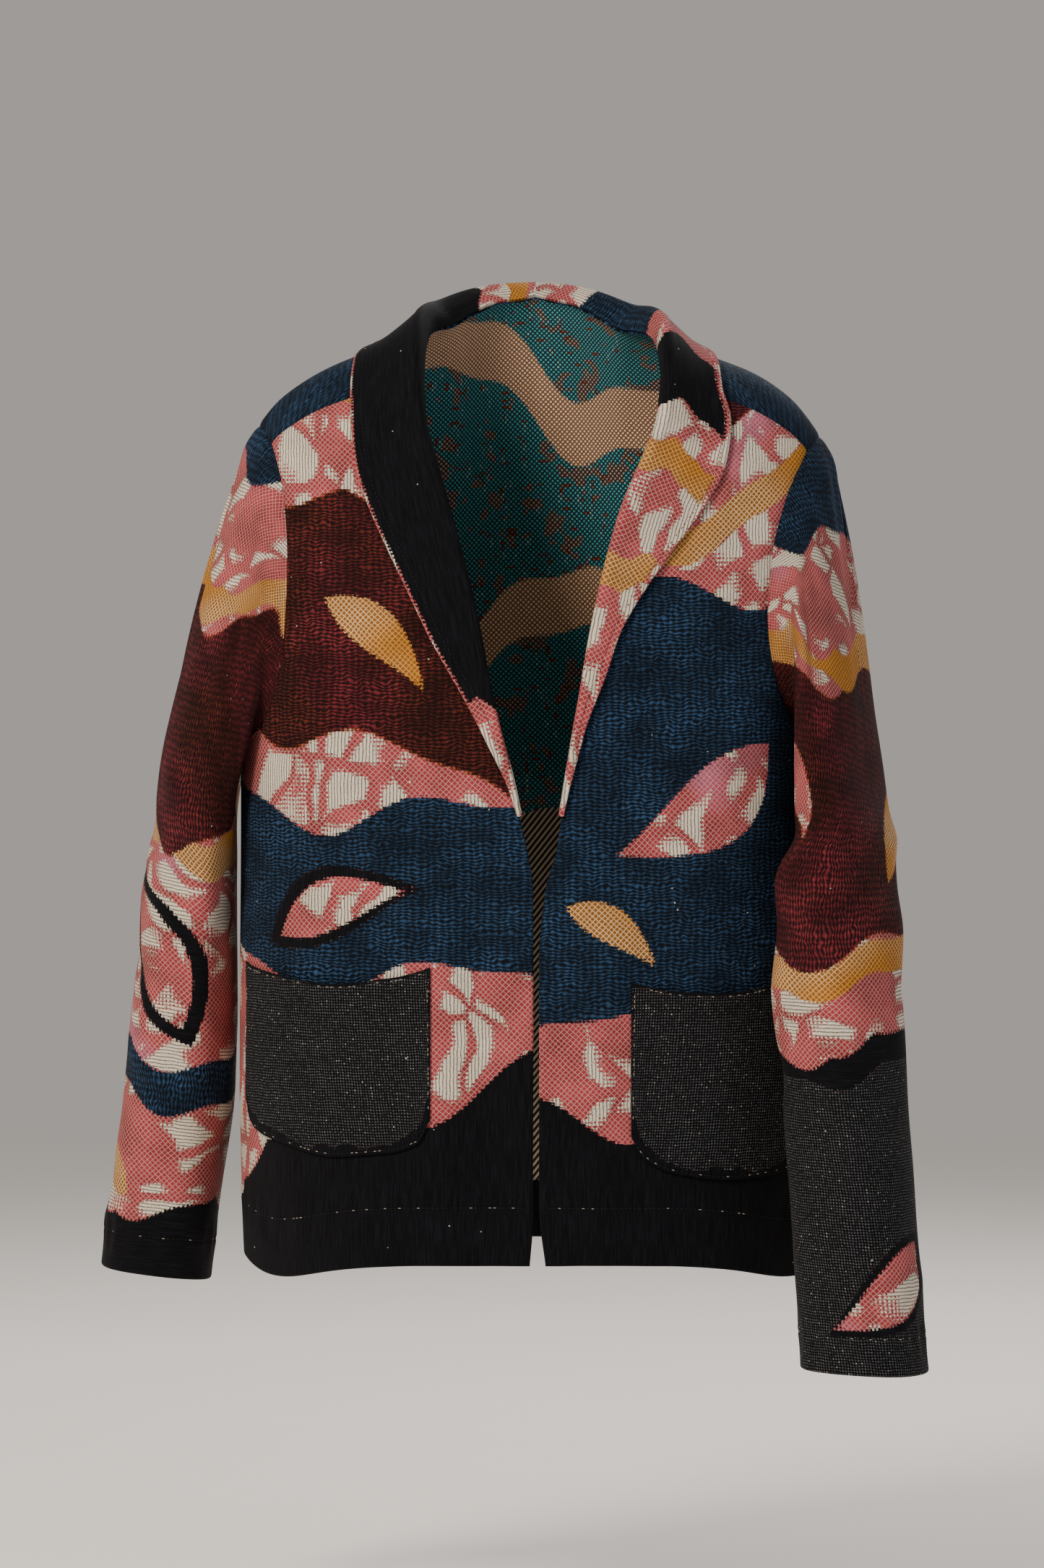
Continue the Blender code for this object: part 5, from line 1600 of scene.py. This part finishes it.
# Front: height at the seam, outer edge's distance and height on the right, the same on the left, stand.
# Profile: millimetres out from the seam, a share of the fall's width, shares of the stand and the lift.
# Steps: where the profile is read, counted in its rows, as the other steps are. Rows: rises in millimetres,
# then roots of their sines.
collarForm = {
    "front": (
        (-0.015, 0.1300, -0.0200, 0.1370, -0.0250, 0.0165),
        (-0.044, 0.1295, -0.0550, 0.1370, -0.0540, 0.0140),
        (-0.069, 0.1245, -0.0830, 0.1290, -0.0840, 0.0115),
        (-0.107, 0.1100, -0.1200, 0.1085, -0.1170, 0.0090),
        (-0.146, 0.0930, -0.1560, 0.0840, -0.1500, 0.0075),
        (-0.190, 0.0735, -0.1970, 0.0580, -0.1930, 0.0065),
        (-0.224, 0.0555, -0.2290, 0.0470, -0.2270, 0.0060),
        (-0.255, 0.0400, -0.2575, 0.0350, -0.2562, 0.0055),
        (-0.290, 0.0262, -0.2905, 0.0278, -0.2905, 0.0050),
        (-0.320, 0.0170, -0.3203, 0.0222, -0.3203, 0.0045),
    ),
    "profile": (
        (-1.3, 0.00, 0.00, 0.00),
        (-3.2, 0.00, 0.45, 0.00),
        (-2.4, 0.00, 0.86, 0.00),
        (0.4, 0.00, 1.00, 0.00),
        (3.6, 0.00, 0.92, 0.08),
        (1.5, 0.33, 0.50, 0.50),
        (0.8, 0.66, 0.14, 0.86),
        (0.0, 1.00, 0.00, 1.00),
    ),
    "steps": ((0.0, 4.0, 15), (4.0, 6.6, 17)),
    "lastSteps": (0.30, 0.20, 0.12, 0.065, 0.025, 0.0),
    "evenSteps": (0.4, 1.6),
    "lessEvenSteps": (5.0, 7.0),
    "lessEvenShare": 0.5,
    "fallSteps": (3.0, 5.0),
    "grooveSteps": (3.6, 4.4),
    "sewnFromStep": 3.8,
    "sewnEnding": 0.6,
    "stations": 170,
    "trackSteps": 25,
    "foldColumn": 20,
    "endWall": 0.75,
    "endWallGain": 0.35,
    "swayShare": 0.6,
    "lift": 0.0042,
    "fullWidth": 0.016,
    "leastRoll": 0.45,
    "evenRows": 5.0,
    "endTaper": 0.060,
    "endHeight": 0.75,
    "endWidth": 0.30,
    "rows": (-50.0, -24.0, 0.0, 0.10, 0.20, 0.30, 0.40, 0.50, 0.60, 0.70, 0.78, 0.85, 0.91),
    "right": {
        "side": -1.0,
        "flat": (0.095, 0.480),
        "area": 0.0300,
        "edge": 0.0018,
        "stitch": 0.0085,
        "bands": (
            ("ochre", 0.020, 0.00, 0.004, 0.060, 0.0, 0.010),
            ("black", 0.255, 0.10, 0.006, 0.050, 40.0, 0.195),
        ),
    },
    "left": {
        "side": 1.0,
        "flat": (0.090, 0.480),
        "area": 0.0275,
        "edge": 0.0044,
        "stitch": 0.0055,
        "bands": (
            ("navy", 0.085, 0.10, 0.005, 0.055, 20.0, 0.040),
            ("black", 0.190, 0.20, 0.006, 0.060, 80.0, 0.030),
            ("ochre", 0.262, 0.20, 0.005, 0.050, 50.0, 0.012),
            ("ochre", 0.350, 0.20, 0.005, 0.050, 10.0, 0.012),
        ),
    },
}


# Guides of the collar: seam distance and rise, outer edge distance and rise, stand, in the frame's
# stations, then read smoothly at even lengths along the seam
def collarGuides(side):
    back = np.array(backForm["neck"])
    rows = np.array(collarForm["rows"][3:])
    rises = np.concatenate([collarForm["rows"][:3], np.degrees(np.arcsin(rows ** 2))])[::-1]
    seamDistance = frontEdgeDistance(side, rises)
    heights = bodyBase(side, angleAt(side, seamDistance, rises), rises)[:, 2]
    first = 1 if side < 0 else 3
    edgeDistance, edgeHeight, stand = readTable(collarForm["front"][::-1], [first, first + 1, 5], heights).T
    front = np.column_stack([seamDistance, rises, edgeDistance, frontRise(edgeDistance, edgeHeight), stand])
    back[:, 0] *= neckHalfWidth(side)
    guides = np.concatenate([back, front])
    seam = bodyPoint(side, angleAt(side, guides[:, 0], guides[:, 1]), guides[:, 1])
    length = runLength(seam[None], 1)[0]
    even = np.linspace(0.0, length[-1], collarForm["stations"])
    stations = np.interp(even, length, np.arange(len(guides)))
    fine = smoothTable(np.arange(len(guides)), guides, stations)
    behind = stations <= len(back) - 1
    neckDistance, neckRise = neckSeam(side, np.minimum(stations, len(back) - 1.0))
    fine[:, 1] = np.where(behind, neckRise, fine[:, 1])
    fine[:, 0] = np.where(behind, neckDistance, frontEdgeDistance(side, fine[:, 1]))
    return fine


# Average over the rows of a grid with bell weights. The first row is the middle of a symmetric collar, so
# rows beyond it are its mirror image; rows beyond the last repeat it.
def evenAlong(points, rows):
    reach = int(3 * rows)
    mirrored = points[reach:0:-1] * (-1.0, 1.0, 1.0)
    longer = np.concatenate([mirrored, points, np.repeat(points[-1:], reach, axis=0)])
    weights = np.exp(-0.5 * (np.arange(-reach, reach + 1) / rows) ** 2)
    weights = weights / weights.sum()
    return sum(weight * longer[at:at + len(points)] for at, weight in enumerate(weights))


# Half collar: at each station the profile is laid along the track from the seam to the outer edge,
# each point standing off the body's cloth by its height
def buildCollar(name):
    form = collarForm[name]
    side = form["side"]
    seamDistance, seamRise, edgeDistance, edgeRise, stand = collarGuides(side).T[..., None]
    seamAngle, edgeAngle = angleAt(side, seamDistance, seamRise), angleAt(side, edgeDistance, edgeRise)

    # points and normals of the body's cloth at a share of the way from the seam to the outer edge
    def track(share):
        angle = seamAngle + (edgeAngle - seamAngle) * share
        rise = seamRise + (edgeRise - seamRise) * share
        return bodyCloth(side, angle, rise)

    straight = track(np.linspace(0.0, 1.0, collarForm["trackSteps"])[None])[0]
    width = runLength(straight, 1)[:, -1:]
    even, more = (np.linspace(*span) for span in collarForm["steps"])
    rows = np.arange(len(collarForm["profile"]))
    steps = np.concatenate([even, more[1:], rows[-1] - np.array(collarForm["lastSteps"])])
    profile = smoothTable(rows, collarForm["profile"], steps)
    roll = np.clip(width / collarForm["fullWidth"], collarForm["leastRoll"], 1.0)
    roll = roll + (1.0 - roll) * np.clip(1.0 - steps, 0.0, 1.0)
    out = np.minimum(0.001 * roll * profile[:, 0] + profile[:, 1] * width, width)
    high = profile[:, 2] * stand + profile[:, 3] * collarForm["lift"]
    # the front end thins and narrows until it lies along the front edge
    seam = straight[:, 0]
    toEnd = runLength(seam[None], 1)[0]
    ending = easeStep(0.0, collarForm["endTaper"], toEnd[-1] - toEnd)[:, None]
    lower, narrow = (collarForm[end] + (1.0 - collarForm[end]) * ending for end in ("endHeight", "endWidth"))
    high = high * lower
    out = np.maximum(out, 0.0) * narrow + np.minimum(out, 0.0)
    base, upward = track(np.clip(out / width, 0.0, 1.0))
    direction = unitLength(np.gradient(seam, axis=0))
    away = straight[:, 1] - seam
    away = unitLength(away - np.sum(away * direction, axis=1, keepdims=True) * direction)
    middle = base + away[:, None] * np.minimum(out, 0.0)[..., None] + upward * high[..., None]
    # the cloth can't bend sharply along the roll: away from its seam it is averaged over some rows, and
    # the average of what that takes away is given back
    lessEven = collarForm["lessEvenShare"] * easeStep(*collarForm["lessEvenSteps"], steps)
    evenShare = (easeStep(*collarForm["evenSteps"], steps) * (1.0 - lessEven))[None, :, None]
    reach = collarForm["evenRows"]
    evened = evenAlong(2.0 * middle - evenAlong(middle, reach), reach)
    middle = middle + evenShare * ending[..., None] * (evened - middle)
    middle[0, :, 0] = side * bodyForm["seamGap"] / 2.0
    alongStep = np.gradient(middle, axis=0)
    alongStep[0] = (side, 0.0, 0.0)
    normal = -side * unitLength(np.cross(np.gradient(middle, axis=1), alongStep))
    across = runLength(middle, 1)
    fromEdge = across[:, -1:] - across
    column = collarForm["foldColumn"]
    along = np.repeat(runLength(middle[:, column:column + 1], 0), middle.shape[1], axis=1)
    onFall = easeStep(*collarForm["fallSteps"], steps)
    lift = (foldHeight(base, sewing["creases"]) + collarForm["swayShare"] * sway(middle)) * onFall
    lift = lift + stitchGroove(fromEdge - form["stitch"]) * easeStep(*collarForm["grooveSteps"], steps)
    middle = middle + normal * lift[..., None]
    full = bodyForm["wall"] * (collarForm["endWall"] + collarForm["endWallGain"] * ending)
    face, reverse = startFields(across.shape)
    paintBands(face, side * across, along, form["bands"])
    paint(face, "coral", form["edge"] - fromEdge)
    thread, paleShare = (redThread, sewing["paleCollar"]) if side > 0 else (darkThread, 0.0)
    sewn = (ending > collarForm["sewnEnding"]) & (steps > collarForm["sewnFromStep"])
    finishPiece(
        "collar_" + name, "jacquard_coral", form, ("jacket_front_" + name, "jacket_back"),
        (middle, normal, full * roundedEdge(fromEdge, full)), np.stack([side * across, along], axis=-1),
        (face, reverse), [(fromEdge, form["stitch"], sewn, True)], thread, paleShare,
    )


# Pockets

# Borders: width, depth of its waves, and their lengths. Outlines: share across, distance from the centre,
# height of the top edge, height of the bottom edge.
pocketForm = {
    "grid": 0.0032,
    "wide": 0.15,
    "tall": 0.13,
    "pull": 0.0002,
    "pullReach": 0.006,
    "standOff": 0.0027,
    "middleRise": 0.0012,
    "slack": 0.0035,
    "stitch": 0.0024,
    "cornerStitch": 0.004,
    "topStitchFrom": 0.002,
    "ground": 0.2,
    "border": 0.0034,
    "borderWave": 0.0005,
    "borderWaves": (0.0041, 0.017),
    "lowBorder": 0.0085,
    "lowBorderWave": 0.0018,
    "lowBorderWaves": (0.0047, 0.013, 0.0113),
    "corner": 0.009,
    "cornerReach": 0.022,
    "right": {
        "side": -1.0,
        "flat": (0.150, 0.145),
        "area": 0.0195,
        "outline": (
            (0.00, 0.0740, -0.4260, -0.5330),
            (0.06, 0.0820, -0.4290, -0.5500),
            (0.25, 0.1050, -0.4350, -0.5570),
            (0.50, 0.1400, -0.4385, -0.5590),
            (0.75, 0.1750, -0.4340, -0.5500),
            (0.94, 0.1990, -0.4280, -0.5400),
            (1.00, 0.2030, -0.4260, -0.5220),
        ),
    },
    "left": {
        "side": 1.0,
        "flat": (0.150, 0.145),
        "area": 0.0200,
        "outline": (
            (0.00, 0.0660, -0.4370, -0.5450),
            (0.06, 0.0740, -0.4385, -0.5600),
            (0.25, 0.0960, -0.4430, -0.5710),
            (0.50, 0.1290, -0.4450, -0.5750),
            (0.75, 0.1640, -0.4400, -0.5700),
            (0.94, 0.1900, -0.4340, -0.5600),
            (1.00, 0.1950, -0.4320, -0.5420),
        ),
    },
}


# Patch pocket: the front's cloth, moved out by its stand-off, a low rise in the middle and the slack
# that grows towards its top edge. Its border is black, wavy, and broader at the lower edge and corners.
def buildPocket(name):
    form = pocketForm[name]
    side = form["side"]
    stitch = pocketForm["stitch"]
    share, down = (
        closeSteps(size, pocketForm["grid"], (stitch, size - stitch)) / size
        for size in (pocketForm["wide"], pocketForm["tall"])
    )
    down = down[:, None]
    distance, top, bottom = readTable(form["outline"], [1, 2, 3], share).T
    rise = (top + (bottom - top) * down - bodyForm["underarm"]) * 1000.0
    distance = np.repeat(distance[None, :], len(down), axis=0)
    angle = angleAt(side, distance, rise)
    bulge = np.sin(np.pi * share)
    body, normal = bodyCloth(side, angle, rise)
    fromSeam = np.linalg.norm(body - bodyPoint(side, np.zeros_like(angle), rise), axis=-1)
    lift = panelCreases(body, fromSeam) + pocketForm["standOff"]
    lift = lift + pocketForm["middleRise"] * bulge * (1.0 - down ** 4)
    lift = lift + pocketForm["slack"] * bulge * (1.0 - down) ** 3
    middle = body + normal * lift[..., None]
    across, fromTop = runLength(middle, 1), runLength(middle, 0)
    fromSide, fromBottom = np.minimum(across, across[:, -1:] - across), fromTop[-1:] - fromTop
    sewn = np.minimum(fromSide, fromBottom)
    pulled = 1.0 - easeStep(0.0, pocketForm["pullReach"], sewn)
    lift = 0.5 * np.maximum(stitchPuckers(fromBottom, across), 0.0) - pocketForm["pull"] * pulled
    lift = lift + np.minimum(stitchGroove(sewn - stitch), stitchGroove(fromTop - stitch))
    middle = middle + normal * lift[..., None]
    thickness = bodyForm["wall"] * roundedEdge(np.minimum(sewn, fromTop), bodyForm["wall"])
    face, reverse = startFields(across.shape)
    paint(face, "charcoal", pocketForm["ground"] + 0.0 * across)
    short, slow, long = pocketForm["lowBorderWaves"]
    ragged = np.sin(across / short + 2.0 * np.sin(across / slow)) + np.sin(across / long + 1.0)
    corners = pocketForm["corner"] * bell(fromSide, pocketForm["cornerReach"])
    lowBorder = pocketForm["lowBorder"] + pocketForm["lowBorderWave"] * ragged + corners
    paint(face, "black", lowBorder - fromBottom)
    short, slow = pocketForm["borderWaves"]
    ragged = np.sin(fromTop / short + 2.0 * np.sin(fromTop / slow))
    border = pocketForm["border"] + pocketForm["borderWave"] * ragged
    paint(face, "black", border - np.minimum(fromSide, fromTop))
    inUpright = (fromBottom > pocketForm["cornerStitch"]) & (fromTop > pocketForm["topStitchFrom"])
    inLevel = fromSide > pocketForm["cornerStitch"]
    lines = [
        (across, stitch, inUpright, True),
        (across[:, -1:] - across, stitch, inUpright, True),
        (fromBottom, stitch, inLevel),
        (fromTop, stitch, inLevel),
    ]
    place = np.stack([side * (distance[:, :1] + across), middle[..., 2]], axis=-1)
    finishPiece(
        "pocket_" + name, "jacquard_charcoal", form, ("jacket_front_" + name,), (middle, normal, thickness),
        place, (face, reverse), lines, darkThread, sewing["palePocket"],
    )


for name in ("right", "left"):
    buildFront(name)
print("fronts built")
buildBack()
print("back built")
for name in ("right", "left"):
    buildSleeve(name)
print("sleeves built")
for name in ("right", "left"):
    buildCollar(name)
    buildPocket(name)
print("collar and pockets built")
